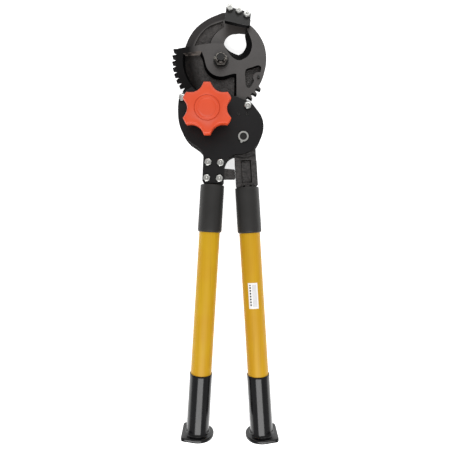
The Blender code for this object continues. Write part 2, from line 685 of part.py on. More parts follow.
def spigot(side, start, end):
    """The bracket's round end, which fills the top of the tube."""
    profile = [(0.0, start), (0.0, end), (SPIGOT_RADIUS - 1, end), (SPIGOT_RADIUS, end - 1), (SPIGOT_RADIUS, start)]
    return turned(side + "_spigot", profile, 24, handle_matrix(side))


def left_bracket():
    body = [(-34.2, 68.0), (-31.0, 64.8), (-5.5, 64.8), (-3.2, 67.0), (-3.0, 74.5), (15.6, 74.5), (16.6, 76.0)]
    body += [(15.8, 88.2), (14.4, 89.6), (-1.8, 91.0), (-2.0, 97.0), (0.2, 104.5), (-1.0, 107.0), (-31.8, 107.0)]
    body += [(-33.6, 105.0)]
    holes = [circle(place, M6_RADIUS + GAP, 12) for place in TANG_BOLTS]
    bracket = prism("left_bracket", [body, *holes], -BLADE_HALF, BLADE_HALF)
    corners = [(-11.0, -3.0), (11.0, -3.0), (11.0, 4.0), (-11.0, 4.0)]
    neck = prism("left_neck", [[beside("left", across, down) for across, down in corners]], -6.8, 6.8)
    return join(bracket, neck, spigot("left", 1.2, 50.0))


def right_bracket():
    corners = [(-17.2, -10.0), (17.2, -10.0), (17.2, -66.0), (12.0, -82.0), (-14.0, -82.0), (-17.2, -58.0)]
    neck = [beside("right", across, down) for across, down in corners]
    bracket = prism("right_bracket", [neck], -BLADE_HALF, BLADE_HALF)
    head = cylinder("bracket_head", HANDLE_PIVOT, BRACKET_HEAD, -BLADE_HALF, BLADE_HALF, 40)

    # The lower part is as thick as the sleeve allows, and starts below the plates' edge.
    clear = 34.6
    shoulder = [polar(HANDLE_PIVOT, clear, angle) for angle in (-57.0, -68.0, -79.0, -90.0, -101.0, -112.0)]
    corners = [(-17.3, -38.0), (-17.3, 0.0), (-15.3, 2.4), (15.3, 2.4), (17.3, 0.0), (17.3, -38.0)]
    stock = [beside("right", across, down) for across, down in corners] + shoulder
    thick = prism("bracket_stock", [stock], -11.0, 11.0)

    arm_direction = Vector(DRIVE_PAWL_PIVOT) - Vector(HANDLE_PIVOT)
    side = Vector((-arm_direction.y, arm_direction.x)).normalized() * 6.0
    ends = [Vector(HANDLE_PIVOT), Vector(DRIVE_PAWL_PIVOT)]
    arm = prism(
        "pawl_arm",
        [[tuple(ends[0] + side), tuple(ends[1] + side), tuple(ends[1] - side), tuple(ends[0] - side)]],
        INNER_MIDDLE,
        INNER_FRONT,
    )
    arm_end = cylinder("arm_end", DRIVE_PAWL_PIVOT, 6.05, INNER_MIDDLE, INNER_FRONT)
    join(bracket, head, thick, spigot("right", 0.0, 50.0), arm, arm_end)

    def web(inset):
        half, low, high = 8.3 - inset, -3.6 - inset, -40.5 + inset
        return [beside("right", *corner) for corner in ((-half, low), (half, low), (half, high), (-half, high))]

    front_web = loft("front_web", web(1.2), web(0.0), 6.5, 11.1)
    back_web = loft("back_web", web(0.0), web(1.2), -11.1, -6.5)
    pivot_bore = cylinder("pivot_bore", HANDLE_PIVOT, HANDLE_BUSHING + GAP, -12, 12)
    pin_bore = cylinder("pawl_pin_bore", DRIVE_PAWL_PIVOT, PAWL_PIN + GAP, -12, 12, 16)
    return cut(bracket, front_web, back_web, pivot_bore, pin_bore)


def handle(side):
    place = handle_matrix(side)
    bore = TUBE_RADIUS + GAP
    sleeve = [
        (14.2, 0.0),
        (SLEEVE_RADIUS - 1.4, 0.0),
        (SLEEVE_RADIUS - 0.2, 1.4),
        (SLEEVE_RADIUS, SLEEVE_LENGTH - 1.0),
        (SLEEVE_RADIUS - 1.0, SLEEVE_LENGTH),
        (bore, SLEEVE_LENGTH),
        (bore, 3.2),
        (14.2, 3.2),
    ]
    if side == "right":
        # The right bracket's stock is broader than the tube, so its sleeve starts below it.
        sleeve = [(radius, height + 2.8 if height < 5 else height) for radius, height in sleeve]
    turned(side + "_sleeve", sleeve, 40, place)

    start = TUBE_START + (2.8 if side == "right" else 0.0)
    end = TUBE_START + TUBE_LENGTH
    inner = TUBE_RADIUS - TUBE_WALL
    turned(side + "_tube", [(TUBE_RADIUS, start), (TUBE_RADIUS, end), (inner, end), (inner, start)], 40, place)

    foot = GRIP_START + GRIP_LENGTH
    grip_profile = [
        (bore, GRIP_START),
        (GRIP_RADIUS - 0.5, GRIP_START),
        (GRIP_RADIUS, GRIP_START + 1.5),
        (GRIP_RADIUS, foot - 12.0),
        (GRIP_RADIUS + 1.2, foot - 8.0),
        (GRIP_RADIUS + 4.0, foot - FOOT_THICKNESS + 0.5),
        (0.0, foot - FOOT_THICKNESS + 0.5),
        (0.0, end + GAP),
        (bore, end + GAP),
    ]
    grip = turned(side + "_grip", grip_profile, 40, place)
    # The foot is round towards the other handle, and runs out to two corners on its flat outer side.
    corner = FOOT_FLAT - FOOT_CORNER
    foot_outline = arc(ORIGIN, FOOT_RADIUS, 81, 279, 26)
    foot_outline += arc((corner, -FOOT_CORNER_ACROSS), FOOT_CORNER, 279, 360, 5)
    foot_outline += arc((corner, FOOT_CORNER_ACROSS), FOOT_CORNER, 0, 81, 5)
    flange = prism(side + "_foot", [foot_outline], foot - FOOT_THICKNESS, foot)
    flange.data.transform(place)
    join(grip, flange)


# ---------------------------------------------------------------- assembly

HOLDING_PAWL_PIVOT = FRAME_BOLTS["left"]

# Each moving body: the body that carries it and the point of its axis. The rest belong to the root.
BODIES = {
    "blade": ("tool", BLADE_PIVOT, ["moving_blade", "pivot_bushing", "stop_pin"]),
    "knob_drive": ("tool", PINION_AXIS, ["knob", "knob_cap", "pinion_shaft", "pinion_clip"]),
    "right_handle": (
        "tool",
        HANDLE_PIVOT,
        [
            "right_bracket",
            "right_sleeve",
            "right_tube",
            "right_grip",
            "handle_bushing",
            "drive_pawl_pin",
            "drive_pawl_spring",
        ],
    ),
    "drive_pawl_body": ("right_handle", DRIVE_PAWL_PIVOT, ["drive_pawl"]),
    "holding_pawl_body": ("tool", HOLDING_PAWL_PIVOT, ["holding_pawl"]),
}

FINISH_OF = {
    "front_plate": "black_plate",
    "blade_guide": "dark_steel",
    "castle_nut": "dark_steel",
    "blade_pivot_bolt": "dark_steel",
    "handle_pivot_bolt": "dark_steel",
    "pivot_washer": "dark_steel",
    "pinion_shaft": "dark_steel",
    "drive_pawl": "dark_steel",
    "holding_pawl": "dark_steel",
    "pivot_bushing": "bronze",
    "handle_bushing": "bronze",
    "cotter_pin": "spring_steel",
    "pinion_clip": "spring_steel",
    "drive_pawl_spring": "spring_steel",
    "holding_pawl_spring": "spring_steel",
    "stop_pin": "dark_steel",
    "drive_pawl_pin": "dark_steel",
    "pawl_stop_pin": "dark_steel",
    "spring_anchor_pin": "dark_steel",
    "spacer_left": "zinc",
    "spacer_right": "zinc",
    "handle_pivot_nut": "zinc",
    "knob": "orange_plastic",
    "knob_cap": "orange_plastic",
    "left_sleeve": "sleeve_plastic",
    "right_sleeve": "sleeve_plastic",
    "left_tube": "yellow_tube",
    "right_tube": "yellow_tube",
    "left_grip": "black_vinyl",
    "right_grip": "black_vinyl",
}


def finish_for(name):
    if name in FINISH_OF:
        return FINISH_OF[name]
    return "zinc" if "bolt" in name or "nut" in name else "black_forging"


def give_material(obj):
    colour, roughness, metallic = FINISHES[finish_for(obj.name)]
    material = bpy.data.materials.new(obj.name)
    material.use_nodes = True
    shader = material.node_tree.nodes["Principled BSDF"]
    linear = [((c + 0.055) / 1.055) ** 2.4 if c > 0.04045 else c / 12.92 for c in colour]
    shader.inputs["Base Color"].default_value = (*linear, 1)
    shader.inputs["Roughness"].default_value = roughness
    shader.inputs["Metallic"].default_value = metallic
    if not obj.data.materials:
        obj.data.materials.append(None)
    obj.material_slots[0].link = "OBJECT"
    obj.material_slots[0].material = material


def shade(obj):
    if obj.type == "MESH":
        obj.data.shade_smooth()
        obj.data.set_sharp_from_angle(angle=math.radians(30))


def assemble():
    """Hangs every piece from an empty on its body's axis, then lays the tool down."""
    empties = {"tool": bpy.data.objects.new("tool", None)}
    body_of = {}
    for body, (parent, axis, nodes) in BODIES.items():
        empty = bpy.data.objects.new(body, None)
        empty.parent = empties[parent]
        carrier = BODIES[parent][1] if parent in BODIES else ORIGIN
        empty.location = ((axis[0] - carrier[0]) * MM, (axis[1] - carrier[1]) * MM, 0)
        empties[body] = empty
        body_of.update(dict.fromkeys(nodes, body))
    for empty in empties.values():
        PARTS.objects.link(empty)
    bpy.context.view_layer.update()
    for obj in list(PARTS.objects):
        if obj.type == "EMPTY":
            continue
        shade(obj)
        give_material(obj)
        empty = empties[body_of.get(obj.name, "tool")]
        for piece in [obj, *helpers_of.get(obj.name, [])]:
            piece.parent = empty
            piece.matrix_parent_inverse = empty.matrix_world.inverted()
    empties["tool"].location = Vector(TOOL_ORIGIN) * MM


fixed_jaw()
front_plate()
blade_guide()
moving_blade()
small_fasteners()
blade_pivot()
handle_pivot()
pinion_and_knob()
pawls()
left_bracket()
right_bracket()
handle("left")
handle("right")
assemble()
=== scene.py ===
# %% [markdown]
# # A two-handed ratchet cable cutter
# The tool lies on its back: handles towards -Y, jaws towards +Y, and the knob on top. Its solids are loaded
# as a fixed frame, and each one is then given the shape and the finish that it has when it leaves the
# factory. A copy of a solid could be kept as it is, but a real part never has a knife-sharp corner, so a
# copy is bevelled or rounded, and the round and moulded pieces are built again with far more sides.

import bmesh
import bpy
import json
import math
from mathutils import Matrix, Vector


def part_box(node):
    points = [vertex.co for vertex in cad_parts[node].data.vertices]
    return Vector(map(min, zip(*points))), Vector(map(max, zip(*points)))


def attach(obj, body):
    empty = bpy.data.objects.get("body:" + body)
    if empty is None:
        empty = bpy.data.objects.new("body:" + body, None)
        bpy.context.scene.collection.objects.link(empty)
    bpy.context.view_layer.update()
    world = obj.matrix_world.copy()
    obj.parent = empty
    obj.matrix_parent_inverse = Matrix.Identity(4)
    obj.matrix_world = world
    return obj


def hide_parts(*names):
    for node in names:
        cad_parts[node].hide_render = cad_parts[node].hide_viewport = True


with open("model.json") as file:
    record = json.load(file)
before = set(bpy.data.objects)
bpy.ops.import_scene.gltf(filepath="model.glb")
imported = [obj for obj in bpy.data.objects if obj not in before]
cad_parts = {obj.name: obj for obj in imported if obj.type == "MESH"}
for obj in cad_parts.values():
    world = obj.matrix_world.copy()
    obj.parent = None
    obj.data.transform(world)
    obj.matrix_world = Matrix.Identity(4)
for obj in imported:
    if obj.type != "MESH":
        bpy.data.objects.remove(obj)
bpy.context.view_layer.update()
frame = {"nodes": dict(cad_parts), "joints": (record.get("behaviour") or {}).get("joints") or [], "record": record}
record = frame["record"]

# %% [markdown]
# ## Places
# Nothing is measured twice. An axis comes from its joint, a bolt's place from the middle of its solid, and
# a handle's line from the flat foot that it ends in. Sizes are in millimetres, and MM turns them to metres.

# %% Places taken from the frame
MM = 0.001
body_of = {node: body for body, nodes in record["behaviour"]["bodies"].items() for node in nodes}
slot_of = {part["node"]: part["material_slot"] for part in record["subparts"]}
axis_of = {joint["name"]: Vector(joint["pos_m"]) for joint in frame["joints"]}
mount_of = {mount["name"]: mount for mount in record["mounts"]}


def middle_of(node):
    low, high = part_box(node)
    return (low + high) / 2


def upright(node, height=0.0):
    """A matrix that puts a piece drawn about Z over a node's middle, at a height in metres."""
    centre = middle_of(node)
    return Matrix.Translation((centre.x, centre.y, height))


def up_handle(side):
    """A matrix whose Z runs up a handle from its foot, and whose X points away from the other handle."""
    foot = mount_of[side + "_foot"]
    up = -Vector(foot["axis"])
    outward = Vector((up.y, -up.x, 0)) * (1 if side == "right" else -1)
    turn = Matrix((outward, up.cross(outward), up)).transposed().to_4x4()
    return Matrix.Translation(foot["pos_m"]) @ turn


print("axes (mm):", {name: [round(c * 1000, 1) for c in place] for name, place in axis_of.items()})

# %% [markdown]
# ## Shaping tools
# Three helpers make every new shape. A round piece is a profile that is spun. A piece whose outline isn't
# round, such as a hexagon or a lobed knob, is a stack of rings, each drawn out of the last one. A forged or
# pressed piece is a merged copy of its solid with its corners bevelled, and the new faces are marked as
# worn, because a corner is where a coating rubs through first.

# %% Shaping tools
WELD = 1e-6
SMOOTH_ANGLE = math.radians(38)
# A face is judged by its normal. A pocket's floor points up by more than FLOOR_UP, and a wall or a slope by
# less than FLAT_UP. A slope that faces down the tool also leans towards -Y.
FLOOR_UP = 0.9
FLAT_UP = 0.95
SLOPE_UP, SLOPE_DOWN_TOOL = 0.1, -0.8


def spun(profile, steps, place):
    """A closed profile of (radius, height) in millimetres, spun about Z and then put in place."""
    bm = bmesh.new()
    ring = [bm.verts.new((radius * MM, 0, height * MM)) for radius, height in profile]
    for a, b in zip(ring, ring[1:] + ring[:1]):
        bm.edges.new((a, b))
    bmesh.ops.spin(
        bm,
        geom=list(bm.verts) + list(bm.edges),
        axis=(0, 0, 1),
        cent=(0, 0, 0),
        angle=math.tau,
        steps=steps,
        use_merge=True,
    )
    bmesh.ops.remove_doubles(bm, verts=bm.verts, dist=WELD)
    bmesh.ops.dissolve_degenerate(bm, edges=bm.edges, dist=WELD)
    bmesh.ops.recalc_face_normals(bm, faces=bm.faces)
    bmesh.ops.transform(bm, matrix=place, verts=bm.verts)
    return bm


def stacked(rings, segments, place, joined=False):
    """Rings drawn out of each other. Each is a function from an angle to (radius, height) in millimetres.
    The two end rings are filled, or joined to each other where the piece has a bore."""
    bm = bmesh.new()
    bmesh.ops.create_circle(bm, cap_ends=False, segments=segments, radius=1)
    edges, loops = list(bm.edges), []
    angle_of = {vert: math.atan2(vert.co.y, vert.co.x) for vert in bm.verts}
    for number, ring in enumerate(rings):
        if number:
            drawn = bmesh.ops.extrude_edge_only(bm, edges=edges)["geom"]
            edges = [part for part in drawn if isinstance(part, bmesh.types.BMEdge)]
            angle_of = {v: math.atan2(v.co.y, v.co.x) for v in drawn if isinstance(v, bmesh.types.BMVert)}
        for vert, angle in angle_of.items():
            radius, height = ring(angle)
            vert.co = Vector((radius * math.cos(angle), radius * math.sin(angle), height)) * MM
        loops.append(edges)
    if joined:
        bmesh.ops.bridge_loops(bm, edges=loops[0] + loops[-1])
    else:
        for loop in (loops[0], loops[-1]):
            bmesh.ops.edgeloop_fill(bm, edges=loop)
    bmesh.ops.recalc_face_normals(bm, faces=bm.faces)
    bmesh.ops.transform(bm, matrix=place, verts=bm.verts)
    return bm


def level(radius, height):
    """A plain round ring."""
    return lambda angle: (radius, height)


def merged_copy(node):
    """A copy of a solid with its loose triangles welded and its flat faces whole again."""
    bm = bmesh.new()
    bm.from_mesh(frame["nodes"][node].data)
    bmesh.ops.remove_doubles(bm, verts=bm.verts, dist=WELD)
    bmesh.ops.dissolve_limit(bm, angle_limit=math.radians(0.5), verts=bm.verts, edges=bm.edges)
    return bm


def soften(bm, width, segments=2, angle=30.0):
    """Bevels every corner sharper than an angle, and marks the new faces as worn."""
    wear_and_highlight = bm.faces.layers.float.new("wear_and_highlight")
    sharp = math.radians(angle)
    corners = [edge for edge in bm.edges if edge.is_manifold and edge.calc_face_angle(0) > sharp]
    made = bmesh.ops.bevel(
        bm,
        geom=corners,
        offset=width * MM,
        offset_type="OFFSET",
        affect="EDGES",
        segments=segments,
        profile=0.5,
        material=-1,
        clamp_overlap=True,
    )
    for face in made["faces"]:
        face[wear_and_highlight] = 1.0
    return bm


def mark_cast_floors(bm, front, depth=1.5):
    """Marks the floors of pockets, which keep the rough skin of the casting."""
    cast = bm.faces.layers.float.new("cast")
    for face in bm.faces:
        sunk = front - face.calc_center_median().z
        if face.normal.z > FLOOR_UP and sunk > depth * MM:
            face[cast] = 1.0
    return bm


def mark_dark_walls_and_lit_slopes(bm, highlight_before, smallest=4.0):
    """Marks the walls and the slopes, which are painted nearly black, partly for their unground black skin and
    partly as painted shade, but not the small rounded corners.
    The slope that faces down the tool at the toothed end gets the pale worn colour instead, as a painted highlight
    where it faces the light."""
    skin_and_shade = bm.faces.layers.float.new("skin_and_shade")
    wear_and_highlight = bm.faces.layers.float.get("wear_and_highlight")
    for face in bm.faces:
        big = face.calc_area() > smallest * MM * MM
        if big and not face[wear_and_highlight] and abs(face.normal.z) < FLAT_UP:
            # Painted highlight: at the toothed end, a slope that faces up and towards -Y is given the pale worn
            # colour, where it faces the light.
            faces_down = face.normal.z > SLOPE_UP and face.normal.y < SLOPE_DOWN_TOOL
            pale_wear_and_highlight = faces_down and face.calc_center_median().x < highlight_before
            face[wear_and_highlight if pale_wear_and_highlight else skin_and_shade] = 1.0
    return bm


def piece(name, bm, finish, body, slot, replaced=(), flats=False):
    """A finished piece: shaded smooth but for its real corners, and riding on its body. On a piece with big
    flat faces, the normals follow the largest face at each corner, so that the flats stay truly flat."""
    mesh = bpy.data.meshes.new(name)
    bm.to_mesh(mesh)
    bm.free()
    mesh.materials.append(finish)
    mesh.shade_smooth()
    mesh.set_sharp_from_angle(angle=SMOOTH_ANGLE)
    made = bpy.data.objects.new(name, mesh)
    bpy.context.scene.collection.objects.link(made)
    if flats:
        by_area = made.modifiers.new("flat_faces", "WEIGHTED_NORMAL")
        by_area.keep_sharp = True
    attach(made, body)
    if replaced:
        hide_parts(*replaced)
    return made


def stand_in(node, bm, finish, flats=False):
    """A finished piece in the place of one solid."""
    return piece(node + "_finished", bm, finish, body_of[node], slot_of[node], [node], flats)


print("smooth below", round(math.degrees(SMOOTH_ANGLE)), "degrees")

# %% [markdown]
# ## Finishes
# Every finish is a Principled shader whose colour, roughness and bump come from noise in the piece's own
# coordinates. Image textures would be an alternative, but noise has no seams and no resolution, and its
# grain can be given in real millimetres: a Noise texture's scale is how many of its cells fit in a metre.

# %% Tools for the finishes


def linear(hex_colour):
    """An sRGB hex colour as the linear RGBA that a shader takes."""
    channels = [int(hex_colour[i : i + 2], 16) / 255 for i in (1, 3, 5)]
    return (*[((c + 0.055) / 1.055) ** 2.4 if c > 0.04045 else c / 12.92 for c in channels], 1.0)


def grain(size_mm):
    """The texture scale at which one cell is this many millimetres across."""
    return 1000 / size_mm


def add_node(tree, kind, inputs=None, **settings):
    """A node with its settings, and each input as a value or as a link from another node's output."""
    made = tree.nodes.new(kind)
    for name, value in settings.items():
        setattr(made, name, value)
    for socket, value in (inputs or {}).items():
        if isinstance(value, bpy.types.NodeSocket):
            tree.links.new(value, made.inputs[socket])
        else:
            made.inputs[socket].default_value = value
    return made


def new_finish(name, roughness, metallic=0.0, **constants):
    """A new material: its tree, its shader and the piece's own coordinates."""
    material = bpy.data.materials.new(name)
    material.use_nodes = True
    tree = material.node_tree
    shader = tree.nodes["Principled BSDF"]
    shader.inputs["Roughness"].default_value = roughness
    shader.inputs["Metallic"].default_value = metallic
    for socket, value in constants.items():
        shader.inputs[socket.replace("_", " ")].default_value = value
    place = add_node(tree, "ShaderNodeTexCoord").outputs["Object"]
    return material, tree, shader, place


MIX_FACTOR, MIX_A, MIX_B, MIX_OUT = 0, 6, 7, 2  # the colour sockets of a Mix node

# %% [markdown]
# ### Black oxide on a forging
# The jaw, the blade and the brackets are forged or cast steel with a black oxide. The oxide is a thin dull
# skin, so it looks like a dark, slightly warm dielectric and not like bare metal. It is mottled over a
# centimetre or two, has the fine grain of the scale below it, and is paler along worn corners. It is also
# paler, as a painted highlight, on the slope that faces the light at the toothed end. Pocket floors are never
# machined and keep the bumps of the sand mould, and the hollows between the bumps are painted darker as
# painted shade. Walls and slopes are painted nearly black and take almost no shine, partly for their unground
# black skin and partly as painted shade. The toothed end is made as dark and as dull beyond a circle.

# %% Black oxide


# INK is painted nearly black on walls and slopes, partly for their unground skin and partly as painted shade.
# INK_SHINE and INK_DULLER take away their shine.
INK = "#070708"
INK_SHINE = 0.04
INK_DULLER = 0.2
MOTTLE_MM = 16
LUMP_MM = 6.5
LUMP_HEIGHT_MM = 3.0
GRAIN_HEIGHT_MM = 0.05


def oxide_finish(
    name, dark, pale, pale_wear_and_highlight, roughness, grain_mm, cast_hollow_shade, dark_from=None, shine_of_skin=0.5
):
    """A black skin. Where dark_from is given, it is inked beyond a circle: its centre, the distances at which
    the ink starts and is full, and how much of it there is."""
    material, tree, shader, place = new_finish(name, roughness, IOR=1.55)
    mottle = add_node(
        tree,
        "ShaderNodeTexNoise",
        {"Vector": place, "Scale": grain(MOTTLE_MM), "Detail": 5, "Roughness": 0.65},
    )
    fine = add_node(tree, "ShaderNodeTexNoise", {"Vector": place, "Scale": grain(grain_mm), "Detail": 3})
    lumps = add_node(
        tree,
        "ShaderNodeTexNoise",
        {"Vector": place, "Scale": grain(LUMP_MM), "Detail": 5, "Roughness": 0.75},
    )
    wear_and_highlight = add_node(tree, "ShaderNodeAttribute", attribute_name="wear_and_highlight").outputs["Fac"]
    cast = add_node(tree, "ShaderNodeAttribute", attribute_name="cast").outputs["Fac"]
    # Painted shade: walls and slopes marked in the mesh go nearly black, partly for their unground skin and partly
    # as painted shade.
    inked = add_node(tree, "ShaderNodeAttribute", attribute_name="skin_and_shade").outputs["Fac"]
    if dark_from:
        centre, start, full, most = dark_from
        away = add_node(tree, "ShaderNodeVectorMath", {0: place, 1: centre}, operation="DISTANCE")
        beyond = add_node(
            tree,
            "ShaderNodeMapRange",
            {"Value": away.outputs["Value"], "From Min": start, "From Max": full, "To Max": most},
        )
        either = add_node(tree, "ShaderNodeMath", {0: inked, 1: beyond.outputs[0]}, operation="MAXIMUM")
        inked = either.outputs[0]
    skin_tone = add_node(
        tree,
        "ShaderNodeMix",
        {MIX_FACTOR: mottle.outputs["Fac"], MIX_A: linear(dark), MIX_B: linear(pale)},
        data_type="RGBA",
    )
    base = add_node(
        tree,
        "ShaderNodeMix",
        {MIX_FACTOR: inked, MIX_A: skin_tone.outputs[MIX_OUT], MIX_B: linear(INK)},
        data_type="RGBA",
    )
    # Painted shade: on a pocket floor, the hollows between the cast bumps are painted darker.
    lump_share = add_node(
        tree,
        "ShaderNodeMapRange",
        {"Value": lumps.outputs["Fac"], "From Min": 0.60, "From Max": 0.42, "To Max": 0.95},
    )
    in_cast = add_node(tree, "ShaderNodeMath", {0: cast, 1: lump_share.outputs[0]}, operation="MULTIPLY")
    floored = add_node(
        tree,
        "ShaderNodeMix",
        {MIX_FACTOR: in_cast.outputs[0], MIX_A: base.outputs[MIX_OUT], MIX_B: linear(cast_hollow_shade)},
        data_type="RGBA",
    )
    patchy = add_node(
        tree,
        "ShaderNodeMapRange",
        {"Value": mottle.outputs["Fac"], "From Min": 0.38, "From Max": 0.62, "To Max": 0.75},
    )
    # The pale colour goes on worn corners and, as a painted highlight, on the lit slopes marked with them.
    wear_and_highlight_share = add_node(tree, "ShaderNodeMath", {0: wear_and_highlight, 1: patchy.outputs[0]}, operation="MULTIPLY")
    coloured = add_node(
        tree,
        "ShaderNodeMix",
        {MIX_FACTOR: wear_and_highlight_share.outputs[0], MIX_A: floored.outputs[MIX_OUT], MIX_B: linear(pale_wear_and_highlight)},
        data_type="RGBA",
    )
    dull = add_node(
        tree,
        "ShaderNodeMapRange",
        {
            "Value": fine.outputs["Fac"],
            "From Min": 0.3,
            "From Max": 0.7,
            "To Min": roughness - 0.07,
            "To Max": roughness + 0.1,
        },
    )
    duller = add_node(
        tree, "ShaderNodeMath", {0: inked, 1: INK_DULLER, 2: dull.outputs[0]}, operation="MULTIPLY_ADD"
    )
    shine = add_node(
        tree, "ShaderNodeMapRange", {"Value": inked, "To Min": shine_of_skin, "To Max": INK_SHINE}
    )
    skin = add_node(
        tree,
        "ShaderNodeBump",
        {"Height": fine.outputs["Fac"], "Strength": 0.35, "Distance": GRAIN_HEIGHT_MM * MM},
    )
    depth = add_node(tree, "ShaderNodeMath", {0: lumps.outputs["Fac"], 1: cast}, operation="MULTIPLY")
    bumps = add_node(
        tree,
        "ShaderNodeBump",
        {
            "Height": depth.outputs[0],
            "Strength": 1.0,
            "Distance": LUMP_HEIGHT_MM * MM,
            "Normal": skin.outputs[0],
        },
    )
    tree.links.new(coloured.outputs[MIX_OUT], shader.inputs["Base Color"])
    tree.links.new(duller.outputs[0], shader.inputs["Roughness"])
    tree.links.new(shine.outputs[0], shader.inputs["Specular IOR Level"])
    tree.links.new(bumps.outputs[0], shader.inputs["Normal"])
    return material


FORGED_OXIDE = oxide_finish("black_oxide_forging", "#2B2827", "#3D3937", "#6A645F", 0.46, 1.6, "#171413")
# The toothed end is inked beyond a wide circle, drawn about a point far to the right of the blade's axis.
blade_axis = axis_of["blade_swing"]
TEETH_INK = (blade_axis + Vector((0.400, 0.060, 0)), 0.4375, 0.4540, 0.92)
TOOTHED_FORGING = oxide_finish(
    "black_oxide_toothed", "#33302E", "#454140", "#857D77", 0.46, 1.6, "#1D1A18", TEETH_INK
)
# The jaw's outer rib lies outside the circle of its pocket, and is darker than the face inside it.
RIB_INK = (blade_axis + Vector((0.0149, 0.0100, 0)), 0.0632, 0.0665, 0.6)
RIBBED_FORGING = oxide_finish(
    "black_oxide_jaw", "#393533", "#4B4745", "#857D77", 0.46, 1.6, "#2A2625", RIB_INK
)
MACHINED_OXIDE = oxide_finish(
    "black_oxide_machined", "#121211", "#1D1C1B", "#5C5C5C", 0.38, 0.9, "#101010", shine_of_skin=0.3
)
PLATE_PAINT = oxide_finish(
    "semi_matte_black_enamel", "#0E0D0E", "#181718", "#3C3A3A", 0.40, 1.1, "#0E0D0E", shine_of_skin=0.22
)
print("oxide finishes:", FORGED_OXIDE.name, MACHINED_OXIDE.name, PLATE_PAINT.name)

# %% [markdown]
# ### Zinc plate, wire and bronze
# These are bare or plated metals, so they keep the default IOR and are fully metallic. Bright zinc dulls in
# clouds, and a sintered bronze bushing is open-grained and oily. The castle nut is plated in black zinc.

# %% Bare metals


def metal_finish(name, low, high, roughness, spread, cloud_mm, pit_mm, pit_depth):
    material, tree, shader, place = new_finish(name, roughness, metallic=1.0)
    cloud = add_node(tree, "ShaderNodeTexNoise", {"Vector": place, "Scale": grain(cloud_mm), "Detail": 4})
    pits = add_node(tree, "ShaderNodeTexNoise", {"Vector": place, "Scale": grain(pit_mm), "Detail": 2})
    colour = add_node(
        tree,
        "ShaderNodeMix",
        {MIX_FACTOR: cloud.outputs["Fac"], MIX_A: linear(low), MIX_B: linear(high)},
        data_type="RGBA",
    )
    dull = add_node(
        tree,
        "ShaderNodeMapRange",
        {
            "Value": cloud.outputs["Fac"],
            "From Min": 0.3,
            "From Max": 0.7,
            "To Min": roughness + spread,
            "To Max": roughness,
        },
    )
    bump = add_node(
        tree, "ShaderNodeBump", {"Height": pits.outputs["Fac"], "Strength": 0.3, "Distance": pit_depth * MM}
    )
    tree.links.new(colour.outputs[MIX_OUT], shader.inputs["Base Color"])
    tree.links.new(dull.outputs[0], shader.inputs["Roughness"])
    tree.links.new(bump.outputs[0], shader.inputs["Normal"])
    return material


ZINC = metal_finish("bright_zinc_plate", "#A9A9A6", "#D6D6D2", 0.26, 0.16, 3.0, 0.8, 0.03)
SPRING_WIRE = metal_finish("drawn_spring_wire", "#66655F", "#A19E98", 0.3, 0.1, 2.0, 0.5, 0.02)
BLACK_ZINC = metal_finish("black_zinc_plate", "#312F2E", "#8A8580", 0.2, 0.2, 2.2, 0.7, 0.04)
BRONZE = metal_finish("sintered_bronze", "#8A6A3C", "#B08C55", 0.42, 0.12, 2.5, 0.6, 0.05)
print("metals:", ZINC.name, SPRING_WIRE.name, BLACK_ZINC.name, BRONZE.name)

# %% [markdown]
# ### Moulded and dipped plastics
# The knob is moulded nylon with a fine eroded texture from its mould. The sleeves are a dull grey PVC. The
# grips were dipped in liquid vinyl, which dries glossy and slightly wavy. All three are one shader with
# different numbers: a slow drift of colour, a fine texture and a slow wave.

# %% Plastics


def plastic_finish(
    name, low, high, roughness, texture_mm, texture_depth, wave_mm, wave_depth, coat=0.0, shine=0.5
):
    material, tree, shader, place = new_finish(
        name, roughness, IOR=1.5, Specular_IOR_Level=shine, Coat_Weight=coat, Coat_Roughness=0.12
    )
    drift = add_node(tree, "ShaderNodeTexNoise", {"Vector": place, "Scale": grain(35), "Detail": 3})
    texture = add_node(tree, "ShaderNodeTexNoise", {"Vector": place, "Scale": grain(texture_mm), "Detail": 2})
    wave = add_node(tree, "ShaderNodeTexNoise", {"Vector": place, "Scale": grain(wave_mm), "Detail": 1})
    colour = add_node(
        tree,
        "ShaderNodeMix",
        {MIX_FACTOR: drift.outputs["Fac"], MIX_A: linear(low), MIX_B: linear(high)},
        data_type="RGBA",
    )
    dull = add_node(
        tree,
        "ShaderNodeMapRange",
        {
            "Value": drift.outputs["Fac"],
            "From Min": 0.3,
            "From Max": 0.7,
            "To Min": roughness - 0.04,
            "To Max": roughness + 0.06,
        },
    )
    fine = add_node(
        tree,
        "ShaderNodeBump",
        {"Height": texture.outputs["Fac"], "Strength": 0.4, "Distance": texture_depth * MM},
    )
    slow = add_node(
        tree,
        "ShaderNodeBump",
        {
            "Height": wave.outputs["Fac"],
            "Strength": 0.5,
            "Distance": wave_depth * MM,
            "Normal": fine.outputs[0],
        },
    )
    tree.links.new(colour.outputs[MIX_OUT], shader.inputs["Base Color"])
    tree.links.new(dull.outputs[0], shader.inputs["Roughness"])
    tree.links.new(slow.outputs[0], shader.inputs["Normal"])
    return material


ORANGE_NYLON = plastic_finish("orange_nylon", "#D2441F", "#DF5128", 0.42, 0.9, 0.03, 30, 0.15)
GREY_PVC = plastic_finish("dull_grey_pvc", "#232221", "#2E2D2C", 0.5, 1.1, 0.05, 22, 0.2, shine=0.3)
DIPPED_VINYL = plastic_finish(
    "dipped_black_vinyl", "#08080A", "#0E0E10", 0.22, 2.0, 0.01, 14, 0.25, coat=0.4, shine=0.12
)
print("plastics:", ORANGE_NYLON.name, GREY_PVC.name, DIPPED_VINYL.name)

# %% [markdown]
# ### Pultruded fibreglass
# A fibreglass tube is pulled through a die, so its glass strands all run along it. The resin is coloured,
# and the strands show as long faint streaks under a smooth gel coat. Each handle leans its own way, so each
# has its own material, with the noise turned to its line and stretched along it.

# %% Fibreglass


STRAND_MM = 1.8
STRETCH = 0.012  # how the noise is squeezed along the tube, which draws its cells out into strands


